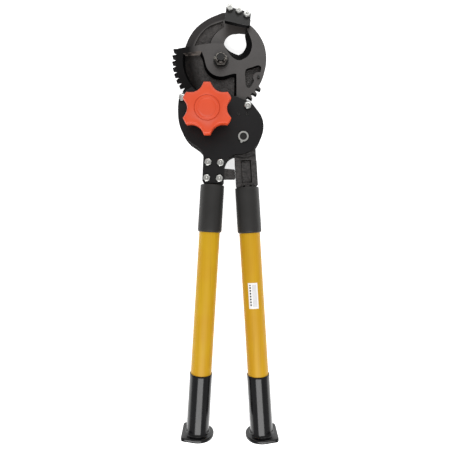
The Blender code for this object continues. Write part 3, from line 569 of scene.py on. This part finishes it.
def fibreglass_finish(side):
    material, tree, shader, place = new_finish(
        f"yellow_fibreglass_{side}",
        0.48,
        IOR=1.5,
        Specular_IOR_Level=0.25,
        Coat_Weight=0.04,
        Coat_Roughness=0.3,
    )
    up = -Vector(mount_of[side + "_foot"]["axis"])
    lean = math.atan2(up.x, up.y)
    along = add_node(
        tree, "ShaderNodeMapping", {"Vector": place, "Rotation": (0, 0, lean), "Scale": (1, STRETCH, 1)}
    )
    strands = add_node(
        tree,
        "ShaderNodeTexNoise",
        {"Vector": along.outputs[0], "Scale": grain(STRAND_MM), "Detail": 4, "Roughness": 0.6},
    )
    bands = add_node(tree, "ShaderNodeTexNoise", {"Vector": along.outputs[0], "Scale": grain(9), "Detail": 2})
    drift = add_node(tree, "ShaderNodeTexNoise", {"Vector": place, "Scale": grain(60), "Detail": 2})
    tone = add_node(
        tree,
        "ShaderNodeMix",
        {MIX_FACTOR: bands.outputs["Fac"], MIX_A: linear("#B98D0C"), MIX_B: linear("#CCA214")},
        data_type="RGBA",
    )
    warm = add_node(
        tree,
        "ShaderNodeMapRange",
        {"Value": drift.outputs["Fac"], "From Min": 0.4, "From Max": 0.65, "To Max": 0.45},
    )
    warmed = add_node(
        tree,
        "ShaderNodeMix",
        {MIX_FACTOR: warm.outputs[0], MIX_A: tone.outputs[MIX_OUT], MIX_B: linear("#BD8414")},
        data_type="RGBA",
    )
    streak = add_node(
        tree,
        "ShaderNodeMapRange",
        {"Value": strands.outputs["Fac"], "From Min": 0.5, "From Max": 0.72, "To Max": 0.3},
    )
    streaked = add_node(
        tree,
        "ShaderNodeMix",
        {MIX_FACTOR: streak.outputs[0], MIX_A: warmed.outputs[MIX_OUT], MIX_B: linear("#98720C")},
        data_type="RGBA",
    )
    ripple = add_node(
        tree,
        "ShaderNodeBump",
        {"Height": strands.outputs["Fac"], "Strength": 0.2, "Distance": GRAIN_HEIGHT_MM * MM},
    )
    tree.links.new(streaked.outputs[MIX_OUT], shader.inputs["Base Color"])
    tree.links.new(ripple.outputs[0], shader.inputs["Normal"])
    return material


FIBREGLASS = {side: fibreglass_finish(side) for side in ("left", "right")}
print("tubes:", [material.name for material in FIBREGLASS.values()])

# %% [markdown]
# ## The forged and pressed parts
# Their outlines come from the solids. What is added is the corner: a forging's is rounded by about a
# millimetre, a plate's edge is only broken, and a tooth keeps a small crisp one.

# %% Jaw, blade, plate and brackets
teeth_before = blade_axis.x - 0.020  # the toothed end lies to the left of this
DEEP_PARTS = {  # finish, width of the rounded corner in millimetres, segments
    "fixed_jaw": (RIBBED_FORGING, 0.8, 3),
    "moving_blade": (TOOTHED_FORGING, 0.5, 2),
    "front_plate": (PLATE_PAINT, 0.6, 2),
    "blade_guide": (MACHINED_OXIDE, 0.8, 3),
    "left_bracket": (FORGED_OXIDE, 0.8, 3),
    "right_bracket": (FORGED_OXIDE, 0.8, 3),
}
for node, (finish, width, segments) in DEEP_PARTS.items():
    shape = soften(merged_copy(node), width, segments)
    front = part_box(node)[1].z
    marked = mark_dark_walls_and_lit_slopes(mark_cast_floors(shape, front), teeth_before)
    made = stand_in(node, marked, finish, flats=True)
    print(node, len(made.data.polygons), "faces")

# %% [markdown]
# ## Small machined parts
# Pins, bushings, spacers, pawls and the pinion are turned or sawn from bar. A small chamfer is all that
# their makers give them, so each is a bevelled copy of its solid in its own metal.

# %% Pins, bushings, pawls and pinion
SMALL_PARTS = {
    MACHINED_OXIDE: [
        "blade_pivot_bolt",
        "pivot_washer",
        "handle_pivot_bolt",
        "drive_pawl",
        "holding_pawl",
        "drive_pawl_pin",
        "pawl_stop_pin",
        "spring_anchor_pin",
        "stop_pin",
        "pinion_shaft",
    ],
    BRONZE: ["pivot_bushing", "handle_bushing"],
    SPRING_WIRE: ["pinion_clip"],
    ZINC: ["handle_pivot_nut", "spacer_left", "spacer_right"],
}
SMALL_CHAMFER = 0.25
for finish, nodes in SMALL_PARTS.items():
    for node in nodes:
        stand_in(node, soften(merged_copy(node), SMALL_CHAMFER, 1), finish, flats=True)
print("small parts:", sum(len(nodes) for nodes in SMALL_PARTS.values()))

# %% [markdown]
# ## Springs
# The two torsion springs are coils of round wire between the plates. Their solids already follow the wire,
# so a merged copy is shaded smooth and rounded once by a subdivision.

# %% Springs
for node in ("drive_pawl_spring", "holding_pawl_spring"):
    coil = stand_in(node, merged_copy(node), SPRING_WIRE)
    rounding = coil.modifiers.new("round_wire", "SUBSURF")
    rounding.levels = rounding.render_levels = 1
    print(node, len(coil.data.polygons), "faces")

# %% [markdown]
# ## Hexagon bolts and nuts
# A real hexagon head is turned before it is used, which cuts its six corners back at 30 degrees, and a cold
# forged one has a dished top. A plain prism shows neither. Each ring of the stack is a hexagon or a circle,
# and the ring at the chamfer dips where the hexagon reaches furthest out.

# %% Bolts
FLATS = 10.0  # across the flats of an M6 head
CHAMFER_CIRCLE = 4.7
HEAD_TURN = math.radians(15)
HEAD_HIGH = 4.0
WASHER_FACE = 4.6
WASHER_FACE_HIGH = 0.3
THREAD = 2.95
THREAD_LONG = 7.0
BOLT_SEGMENTS = 48


def hexagon(flats, turn=0.0):
    """The distance from the middle to a hexagon's side, at any angle."""

    def reach(angle):
        off = (angle - turn + math.pi / 6) % (math.pi / 3) - math.pi / 6
        return flats / 2 / math.cos(math.pi / 6 - abs(off))

    return reach


def chamfer(reach, circle, top, fall=1):
    """The ring where a cone at 30 degrees meets the hexagon."""
    return lambda angle: (reach(angle), top - fall * (reach(angle) - circle) * math.tan(math.pi / 6))


def threads(radius, start, end, pitch=1.0, depth=0.35):
    """Rings down a thread, from one height to another."""
    turns = int(abs(end - start) / pitch)
    step = math.copysign(pitch, end - start)
    rings = []
    for number in range(turns):
        rings += [
            level(radius, start + step * number),
            level(radius - depth, start + step * (number + 0.5)),
        ]
    return rings


def bolt_rings(top, head_low, end):
    side = hexagon(FLATS, HEAD_TURN)
    return [
        level(0.7, top - 1.5),
        level(1.7, top - 1.1),
        level(2.5, top),
        level(CHAMFER_CIRCLE, top),
        chamfer(side, CHAMFER_CIRCLE, top),
        lambda angle: (side(angle), head_low + WASHER_FACE_HIGH),
        level(WASHER_FACE, head_low + WASHER_FACE_HIGH),
        level(WASHER_FACE, head_low),
        level(THREAD, head_low),
        *threads(THREAD, min(head_low, end + THREAD_LONG) - 0.5, end + 0.6),
        level(2.3, end),
    ]


bolts = [node for node in frame["nodes"] if "bolt" in node and "pivot" not in node]
for node in sorted(bolts):
    low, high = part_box(node)
    rings = bolt_rings(high.z / MM, high.z / MM - HEAD_HIGH, low.z / MM)
    stand_in(node, stacked(rings, BOLT_SEGMENTS, upright(node)), ZINC)
print(len(bolts), "bolts")

# %% Nuts
NUT_BORE = 3.25


def nut_rings(low, high):
    side = hexagon(FLATS, HEAD_TURN)
    return [
        level(NUT_BORE, high - 0.4),
        level(NUT_BORE + 0.4, high),
        level(CHAMFER_CIRCLE, high),
        chamfer(side, CHAMFER_CIRCLE, high),
        chamfer(side, CHAMFER_CIRCLE, low, -1),
        level(CHAMFER_CIRCLE, low),
        level(NUT_BORE + 0.4, low),
        level(NUT_BORE, low + 0.4),
    ]


pivot_nuts = ("castle_nut", "handle_pivot_nut")
nuts = [node for node in frame["nodes"] if "_nut" in node and node not in pivot_nuts]
for node in sorted(nuts):
    low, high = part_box(node)
    rings = nut_rings(low.z / MM, high.z / MM)
    stand_in(node, stacked(rings, BOLT_SEGMENTS, upright(node), joined=True), ZINC)
print(len(nuts), "nuts")

# %% [markdown]
# ## Castle nut and split pin
# The blade turns on one big bolt, so its nut must never creep. A castle nut has a slotted round crown, and
# a split pin through the bolt locks it. The slots are made by letting the crown's top rings drop, at the
# six angles where a slot is.

# %% Castle nut
CASTLE_FLATS = 19.0
CASTLE_BORE = 6.3
CASTLE_CROWN = 8.5
SLOT_DEPTH = 4.0
SLOT_HALF = math.radians(11)
CASTLE_CHAMFER = CASTLE_FLATS / 2 - 0.5
HEX_SHARE = 0.55  # of the nut's height, below the crown
nut_low, nut_high = (corner.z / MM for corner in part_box("castle_nut"))
shoulder = nut_low + HEX_SHARE * (nut_high - nut_low)


def crown(radius, drop):
    """A ring round the crown's top that falls into each slot."""

    def ring(angle):
        off = (angle + math.pi / 6) % (math.pi / 3) - math.pi / 6
        return radius, (nut_high - SLOT_DEPTH if abs(off) < SLOT_HALF else nut_high - drop)

    return ring


side = hexagon(CASTLE_FLATS)
castle_rings = [
    crown(CASTLE_BORE, 0.3),
    crown(CASTLE_BORE + 0.3, 0.0),
    crown(CASTLE_CROWN - 0.5, 0.0),
    crown(CASTLE_CROWN, 0.5),
    level(CASTLE_CROWN, shoulder),
    level(CASTLE_CHAMFER, shoulder),
    chamfer(side, CASTLE_CHAMFER, shoulder),
    chamfer(side, CASTLE_CHAMFER, nut_low, -1),
    level(CASTLE_CHAMFER, nut_low),
    level(CASTLE_BORE, nut_low),
]
stand_in("castle_nut", stacked(castle_rings, 144, upright("castle_nut"), joined=True), BLACK_ZINC)
print("crown above", round(shoulder, 1), "mm")

# %% Split pin
pin_middle = middle_of("cotter_pin")
PIN_WIRE = 0.62
pin_z = nut_high - SLOT_DEPTH / 2
pin_y = pin_middle.y / MM
nut_x = middle_of("castle_nut").x / MM
PIN_REACH = CASTLE_CROWN + 0.4  # from the nut's middle to just outside its crown
LEG = 0.66  # from the pin's middle line to each leg's
pin_path = [
    (nut_x + PIN_REACH + 0.4, pin_y + 3.6, pin_z - 0.6),
    (nut_x + PIN_REACH + 0.5, pin_y + 2.0, pin_z),
    (nut_x + PIN_REACH, pin_y + LEG, pin_z),
    (nut_x - PIN_REACH, pin_y + LEG, pin_z),
    (nut_x - PIN_REACH - 0.6, pin_y + 1.5, pin_z),
    (nut_x - PIN_REACH - 1.7, pin_y + 1.2, pin_z),
    (nut_x - PIN_REACH - 2.2, pin_y, pin_z),
    (nut_x - PIN_REACH - 1.7, pin_y - 1.2, pin_z),
    (nut_x - PIN_REACH - 0.6, pin_y - 1.5, pin_z),
    (nut_x - PIN_REACH, pin_y - LEG, pin_z),
    (nut_x + PIN_REACH, pin_y - LEG, pin_z),
    (nut_x + PIN_REACH + 0.5, pin_y - 2.0, pin_z),
    (nut_x + PIN_REACH + 0.4, pin_y - 3.6, pin_z - 0.6),
]


def bent_wire(points, radius):
    """Round wire through points in millimetres, as a mesh with its place in it."""
    curve = bpy.data.curves.new("wire", "CURVE")
    curve.dimensions = "3D"
    curve.bevel_depth = radius * MM
    curve.bevel_resolution = 3
    curve.use_fill_caps = True
    spline = curve.splines.new("NURBS")
    spline.points.add(len(points) - 1)
    for point, place in zip(spline.points, points):
        point.co = (*(Vector(place) * MM), 1)
    spline.order_u = 3
    spline.use_endpoint_u = True
    spline.resolution_u = 6
    holder = bpy.data.objects.new("wire", curve)
    bpy.context.scene.collection.objects.link(holder)
    bpy.context.view_layer.update()
    bm = bmesh.new()
    bm.from_mesh(holder.evaluated_get(bpy.context.evaluated_depsgraph_get()).to_mesh())
    bpy.data.objects.remove(holder)
    bmesh.ops.remove_doubles(bm, verts=bm.verts, dist=WELD)
    bmesh.ops.recalc_face_normals(bm, faces=bm.faces)
    return bm


stand_in("cotter_pin", bent_wire(pin_path, PIN_WIRE), SPRING_WIRE)
print("split pin at", round(pin_z, 1), "mm")

# %% [markdown]
# ## The knob
# The knob is turned by the fingertips: six lobes with deep valleys between them, all rounded over. The
# valleys are arcs about points outside the knob. Each angle takes the nearer of the lobe circle and the
# valley arc, blended where they meet, and rings of it are stacked with the top one pulled in for the
# rounded edge.

# %% Knob
KNOB_LOBE = 39.6
VALLEY_CENTRE = 49.0
VALLEY_RADIUS = 18.8
LOBE_BLEND = 5.5
RIM = 3.2  # how far the rounded edge reaches in
LOBES_HIGH = 14.0
KNOB_BORE = 6.3
knob_low, knob_high = (corner.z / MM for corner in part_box("knob"))
rim_low = knob_high - LOBES_HIGH


def smaller(a, b, blend):
    """The smaller of two lengths, with a rounded step between them."""
    share = min(max(0.5 + (b - a) / (2 * blend), 0.0), 1.0)
    return b + (a - b) * share - blend * share * (1 - share)


def knob_reach(angle):
    """The knob's outline. A lobe points along +Y, so a valley lies along +X."""
    off = (angle + math.pi / 6) % (math.pi / 3) - math.pi / 6
    across = VALLEY_CENTRE * math.sin(off)
    if abs(across) >= VALLEY_RADIUS:
        return KNOB_LOBE
    valley = VALLEY_CENTRE * math.cos(off) - math.sqrt(VALLEY_RADIUS**2 - across**2)
    return smaller(KNOB_LOBE, valley, LOBE_BLEND)


def knob_ring(inset, height):
    return lambda angle: (knob_reach(angle) - inset, height)


def rounded(reach_in, low, high, steps=6):
    """Insets and heights round a quarter of a circle, from the side up to the top."""
    turns = [math.pi / 2 * i / steps for i in range(steps + 1)]
    return [(reach_in * (1 - math.cos(turn)), low + (high - low) * math.sin(turn)) for turn in turns]


CAP_SEAT = 19.5
CAP_SEAT_DEEP = 2.0
HUB = 15.0
knob_rings = [
    level(KNOB_BORE, knob_low),
    level(HUB - 1.0, knob_low),
    level(HUB, knob_low + 1.0),
    level(HUB + 0.6, rim_low - 2.0),
    level(HUB + 2.6, rim_low),
    knob_ring(5.0, rim_low),
    knob_ring(1.2, rim_low + 0.2),
    knob_ring(0.3, rim_low + 1.2),
    *[knob_ring(inset, height) for inset, height in rounded(RIM, knob_high - RIM, knob_high)],
    level(CAP_SEAT + 0.9, knob_high),
    level(CAP_SEAT, knob_high - 0.7),
    level(CAP_SEAT, knob_high - CAP_SEAT_DEEP),
    level(KNOB_BORE, knob_high - CAP_SEAT_DEEP),
]
stand_in("knob", stacked(knob_rings, 240, upright("knob"), joined=True), ORANGE_NYLON)
print("knob", round(2 * KNOB_LOBE, 1), "mm across its lobes")

# %% [markdown]
# The cap snaps into the knob's top. It carries no mark here: only a raised ring and a shallow dish, as a
# moulder would leave a blank insert.

# %% Knob cap
cap_low, cap_high = (corner.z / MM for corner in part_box("knob_cap"))
CAP_RINGS = [  # radius, and height from the cap's top
    (0.6, -0.9),
    (11.0, -0.75),
    (13.2, -0.55),
    (13.8, -0.1),
    (14.6, 0.0),
    (15.4, -0.1),
    (15.9, -0.5),
    (17.8, -0.5),
    (18.6, -0.2),
    (19.0, -0.7),
]
cap_rings = [level(radius, cap_high + height) for radius, height in CAP_RINGS] + [level(19.0, cap_low)]
stand_in("knob_cap", stacked(cap_rings, 96, upright("knob_cap")), ORANGE_NYLON)
print("cap", round(cap_high - cap_low, 1), "mm thick")

# %% [markdown]
# ## Sleeves and tubes
# Both are turned about the handle's line. Heights are counted up from the foot, so they can be read off a
# handle standing on the floor. The sleeve hides the joint between the bracket and the tube, and its moulded
# lower lip is rounded.

# %% Sleeves and tubes
HANDLE = 406.5  # from the foot to the handle's top
SLEEVE = 19.5
SLEEVE_LENGTH = 76.5
TUBE = 16.85
TUBE_WALL = 3.2
TUBE_LOW = HANDLE - 400.6
TUBE_SHORT = 4.4  # from the sleeve's top to the tube's
SLEEVE_BORE = 14.3
SLEEVE_SEAT = 7.0  # how far below the handle's top the sleeve's wide bore ends
TURN_STEPS = 96
TOP_DROP = {"left": 0.0, "right": 2.8}  # the right sleeve starts below its broader bracket

for hand in ("left", "right"):
    top = HANDLE - TOP_DROP[hand]
    foot_of_sleeve = HANDLE - SLEEVE_LENGTH
    sleeve = [
        (SLEEVE_BORE, top),
        (SLEEVE - 2.2, top),
        (SLEEVE - 0.9, top - 0.4),
        (SLEEVE - 0.25, top - 1.4),
        (SLEEVE - 0.2, top - 8.0),
        (SLEEVE, foot_of_sleeve + 9.0),
        (SLEEVE, foot_of_sleeve + 3.2),
        (SLEEVE - 0.25, foot_of_sleeve + 1.7),
        (SLEEVE - 0.9, foot_of_sleeve + 0.6),
        (SLEEVE - 1.9, foot_of_sleeve),
        (TUBE + 0.3, foot_of_sleeve),
        (TUBE + 0.3, HANDLE - SLEEVE_SEAT),
        (SLEEVE_BORE, HANDLE - SLEEVE_SEAT),
    ]
    stand_in(hand + "_sleeve", spun(sleeve, TURN_STEPS, up_handle(hand)), GREY_PVC)
    tube_top = HANDLE - TUBE_SHORT - TOP_DROP[hand]
    bore = TUBE - TUBE_WALL
    tube = [(TUBE, TUBE_LOW), (TUBE, tube_top), (bore, tube_top), (bore, TUBE_LOW)]
    stand_in(hand + "_tube", spun(tube, TURN_STEPS, up_handle(hand)), FIBREGLASS[hand])
print("tubes", round(2 * TUBE, 1), "mm in diameter")

# %% [markdown]
# ## Grips
# Each grip is a thick dip of vinyl that ends in a foot, round on its inner side and squared on its outer
# one, which keeps the tool from rolling. The shaft's rings are round and the foot's are D-shaped. The D is
# the nearest of four limits at each angle: the circle, the flat side, and the two edges that run out to its
# corners. A concave fillet joins the two shapes.

# %% Grips
GRIP = 18.3
GRIP_LENGTH = 100.5
FOOT = 26.5
FOOT_FLAT = 25.35
FOOT_EDGE = math.radians(81)  # where the straight edges leave the circle
FOOT_BLEND = 6.6


def foot_reach(angle):
    """A circle whose +X side runs out along two straight edges to a flat."""
    turn = abs(math.remainder(angle, math.tau))
    if turn >= FOOT_EDGE:
        return FOOT
    edge = FOOT / math.cos(FOOT_EDGE - turn)
    flat = FOOT_FLAT / max(math.cos(turn), 0.05)
    return smaller(edge, flat, FOOT_BLEND)


def foot_ring(inset, height, share=1.0):
    """A ring between the foot's outline and the round shaft."""
    return lambda angle: ((foot_reach(angle) - inset) * share + GRIP * (1 - share), height)


FILLET = 5.0
RIM_HIGH = 5.6
FILLET_START = 0.3  # how much of the foot's overhang is left where the fillet starts
FILLET_INSET = 1.8
FILLET_LOW = RIM_HIGH + 0.3
FILLET_STEPS = 8
GRIP_BORE_LOW = 5.6
grip_rings = [
    foot_ring(3.0, 0.0),
    foot_ring(1.0, 0.0),
    foot_ring(0.3, 0.35),
    foot_ring(0.0, 1.1),
    foot_ring(0.0, RIM_HIGH - 1.2),
    foot_ring(0.3, RIM_HIGH - 0.5),
    foot_ring(1.0, RIM_HIGH),
    foot_ring(FILLET_INSET, RIM_HIGH + 0.1),
    foot_ring(FILLET_INSET, FILLET_LOW, FILLET_START),
]
for step in range(1, FILLET_STEPS + 1):
    turn = math.pi / 2 * step / FILLET_STEPS
    share = FILLET_START * (1 - math.sin(turn))
    grip_rings.append(foot_ring(FILLET_INSET, FILLET_LOW + FILLET * (1 - math.cos(turn)), share))
grip_rings += [
    level(GRIP, 20.0),
    level(GRIP - 0.1, 58.0),
    level(GRIP, GRIP_LENGTH - 7.0),
    level(GRIP + 0.15, GRIP_LENGTH - 2.4),
    level(GRIP + 0.1, GRIP_LENGTH - 1.0),
    level(GRIP - 0.25, GRIP_LENGTH - 0.2),
    level(GRIP - 0.7, GRIP_LENGTH),
    level(TUBE + 0.25, GRIP_LENGTH - 0.5),
    level(TUBE + 0.25, GRIP_BORE_LOW),
]
for hand in ("left", "right"):
    stand_in(hand + "_grip", stacked(grip_rings, TURN_STEPS, up_handle(hand)), DIPPED_VINYL)
print("foot", 2 * FOOT, "mm across, flat", FOOT_FLAT, "mm from its middle")

# %% [markdown]
# ## The label
# A small paper label is stuck along the right tube. It is a flat grid that is laid round the tube and given
# a paper's thickness. Its print is made of bars alone, with no letters, drawn on the label's own UV map so
# that they follow it.

# %% Label paper
LABEL_WIDTH = 15.5
LABEL_LENGTH = 41.0
LABEL_UP = 230.3
LABEL_ACROSS = -1.3
LABEL_THICKNESS = 0.12

label_paper, tree, shader, place = new_finish("printed_label_paper", 0.38, IOR=1.5)
chart = add_node(tree, "ShaderNodeUVMap", uv_map="label")
split = add_node(tree, "ShaderNodeSeparateXYZ", {"Vector": chart.outputs[0]})
across, along = split.outputs["X"], split.outputs["Y"]


def between(value, low, high):
    """1 where a value lies between two others, 0 elsewhere."""
    over = add_node(tree, "ShaderNodeMath", {0: value, 1: low}, operation="GREATER_THAN")
    under = add_node(tree, "ShaderNodeMath", {0: value, 1: high}, operation="LESS_THAN")
    span = add_node(
        tree, "ShaderNodeMath", {0: over.outputs[0], 1: under.outputs[0]}, operation="MULTIPLY"
    )
    return span.outputs[0]


def bars(value, per_length, share):
    """Stripes: the share of each repeat that is printed."""
    scaled = add_node(tree, "ShaderNodeMath", {0: value, 1: per_length}, operation="MULTIPLY")
    part = add_node(tree, "ShaderNodeMath", {0: scaled.outputs[0]}, operation="FRACT")
    return add_node(tree, "ShaderNodeMath", {0: part.outputs[0], 1: share}, operation="LESS_THAN").outputs[0]


inside = between(along, 0.07, 0.93)


def printed_stripes(low, high, stripes):
    """1 on the stripes that lie between two limits across the label and inside its margins, 0 elsewhere."""
    column = between(across, low, high)
    framed = add_node(tree, "ShaderNodeMath", {0: column, 1: inside}, operation="MULTIPLY")
    ink = add_node(tree, "ShaderNodeMath", {0: framed.outputs[0], 1: stripes}, operation="MULTIPLY")
    return ink.outputs[0]


bold = printed_stripes(0.14, 0.30, bars(along, 9, 0.62))
fine = printed_stripes(0.42, 0.84, bars(across, 9, 0.4))
printed = add_node(
    tree,
    "ShaderNodeMix",
    {MIX_FACTOR: fine, MIX_A: linear("#E9E8E6"), MIX_B: linear("#A9A7AE")},
    data_type="RGBA",
)
titled = add_node(
    tree,
    "ShaderNodeMix",
    {MIX_FACTOR: bold, MIX_A: printed.outputs[MIX_OUT], MIX_B: linear("#2A2A2C")},
    data_type="RGBA",
)
tree.links.new(titled.outputs[MIX_OUT], shader.inputs["Base Color"])
print("label print:", len(tree.nodes), "nodes")

# %% Label
bm = bmesh.new()
bmesh.ops.create_grid(bm, x_segments=16, y_segments=8, size=0.5)
chart_layer = bm.loops.layers.uv.new("label")
for face in bm.faces:
    for loop in face.loops:
        loop[chart_layer].uv = (loop.vert.co.x + 0.5, loop.vert.co.y + 0.5)
paper_radius = TUBE + 0.05
for vert in bm.verts:
    round_tube = (vert.co.x * LABEL_WIDTH + LABEL_ACROSS) / paper_radius
    vert.co = (
        paper_radius * MM * math.sin(round_tube),
        (vert.co.y * LABEL_LENGTH + LABEL_UP) * MM,
        paper_radius * MM * math.cos(round_tube),
    )
bmesh.ops.solidify(bm, geom=bm.faces[:], thickness=-LABEL_THICKNESS * MM)
foot = mount_of["right_foot"]
up = -Vector(foot["axis"])
lay_on = Matrix((Vector((up.y, -up.x, 0)), up, Vector((0, 0, 1)))).transposed().to_4x4()
bmesh.ops.transform(bm, matrix=Matrix.Translation(foot["pos_m"]) @ lay_on, verts=bm.verts)
bmesh.ops.recalc_face_normals(bm, faces=bm.faces)
piece("right_tube_label", bm, label_paper, body_of["right_tube"], slot_of["right_tube"])
print("label", LABEL_WIDTH, "by", LABEL_LENGTH, "mm")

# %% [markdown]
# ## Floor, lights and camera
# The tool lies on a light table, a white sheet that is lit from below as well, so that it shows hardly a
# shadow. A flat black face mirrors whatever is above it, so no lamp hangs over the plate. One large soft
# box stands beyond the grips, where it gives them and the tubes their long highlights, and a weaker one
# beyond the jaws. The camera looks straight down on the tool from the distance that gives its perspective.

# %% Floor
FLOOR_HALF = 4.0
FLOOR_GAP = 0.0005  # below the tool, so that the two never lie in one plane
floor_paint, tree, shader, place = new_finish("light_table_sheet", 0.9, Emission_Strength=0.7)
shader.inputs["Emission Color"].default_value = linear("#FFFFFF")
paper = add_node(tree, "ShaderNodeTexNoise", {"Vector": place, "Scale": grain(40), "Detail": 2})
pale = add_node(
    tree,
    "ShaderNodeMix",
    {MIX_FACTOR: paper.outputs["Fac"], MIX_A: linear("#FBFBFB"), MIX_B: linear("#FFFFFF")},
    data_type="RGBA",
)
tree.links.new(pale.outputs[MIX_OUT], shader.inputs["Base Color"])
bm = bmesh.new()
bmesh.ops.create_grid(bm, x_segments=1, y_segments=1, size=FLOOR_HALF)
mesh = bpy.data.meshes.new("floor")
bm.to_mesh(mesh)
bm.free()
mesh.materials.append(floor_paint)
floor = bpy.data.objects.new("floor", mesh)
floor.location.z = -FLOOR_GAP
bpy.context.scene.collection.objects.link(floor)
print("floor", 2 * FLOOR_HALF, "m square")

# %% Lights


def soft_box(name, place, target, size, power):
    lamp = bpy.data.lights.new(name, "AREA")
    lamp.shape = "RECTANGLE"
    lamp.size, lamp.size_y = size
    lamp.energy = power
    holder = bpy.data.objects.new(name, lamp)
    holder.location = place
    holder.rotation_euler = (Vector(target) - Vector(place)).to_track_quat("-Z", "Y").to_euler()
    bpy.context.scene.collection.objects.link(holder)


soft_box("handle_box", (0.0, -0.90, 1.15), (0.0, -0.25, 0.0), (1.15, 0.6), 15)
soft_box("jaw_box", (0.15, 1.2, 1.05), (0.0, 0.25, 0.0), (1.2, 0.7), 7)
world = bpy.data.worlds.new("studio")
world.use_nodes = True
background = world.node_tree.nodes["Background"]
background.inputs["Color"].default_value = linear("#FFFFFF")
background.inputs["Strength"].default_value = 0.5
bpy.context.scene.world = world
bpy.context.scene.view_settings.view_transform = "Standard"

# %% Camera
CAMERA_ABOVE = 0.580
BLADE_FROM_VIEW = Vector((-0.0065, 0.2645, 0))  # the blade's axis, from the middle of the view
HALF_VIEW = 0.36675  # half the view's width at the blade's level
camera_data = bpy.data.cameras.new("camera")
camera_data.sensor_width = 36.0
camera_data.lens = 18.0 * CAMERA_ABOVE / HALF_VIEW
camera = bpy.data.objects.new("camera", camera_data)
camera.location = axis_of["blade_swing"] - BLADE_FROM_VIEW + Vector((0, 0, CAMERA_ABOVE))
bpy.context.scene.collection.objects.link(camera)
bpy.context.scene.camera = camera
print("lens", round(camera_data.lens, 2), "mm")
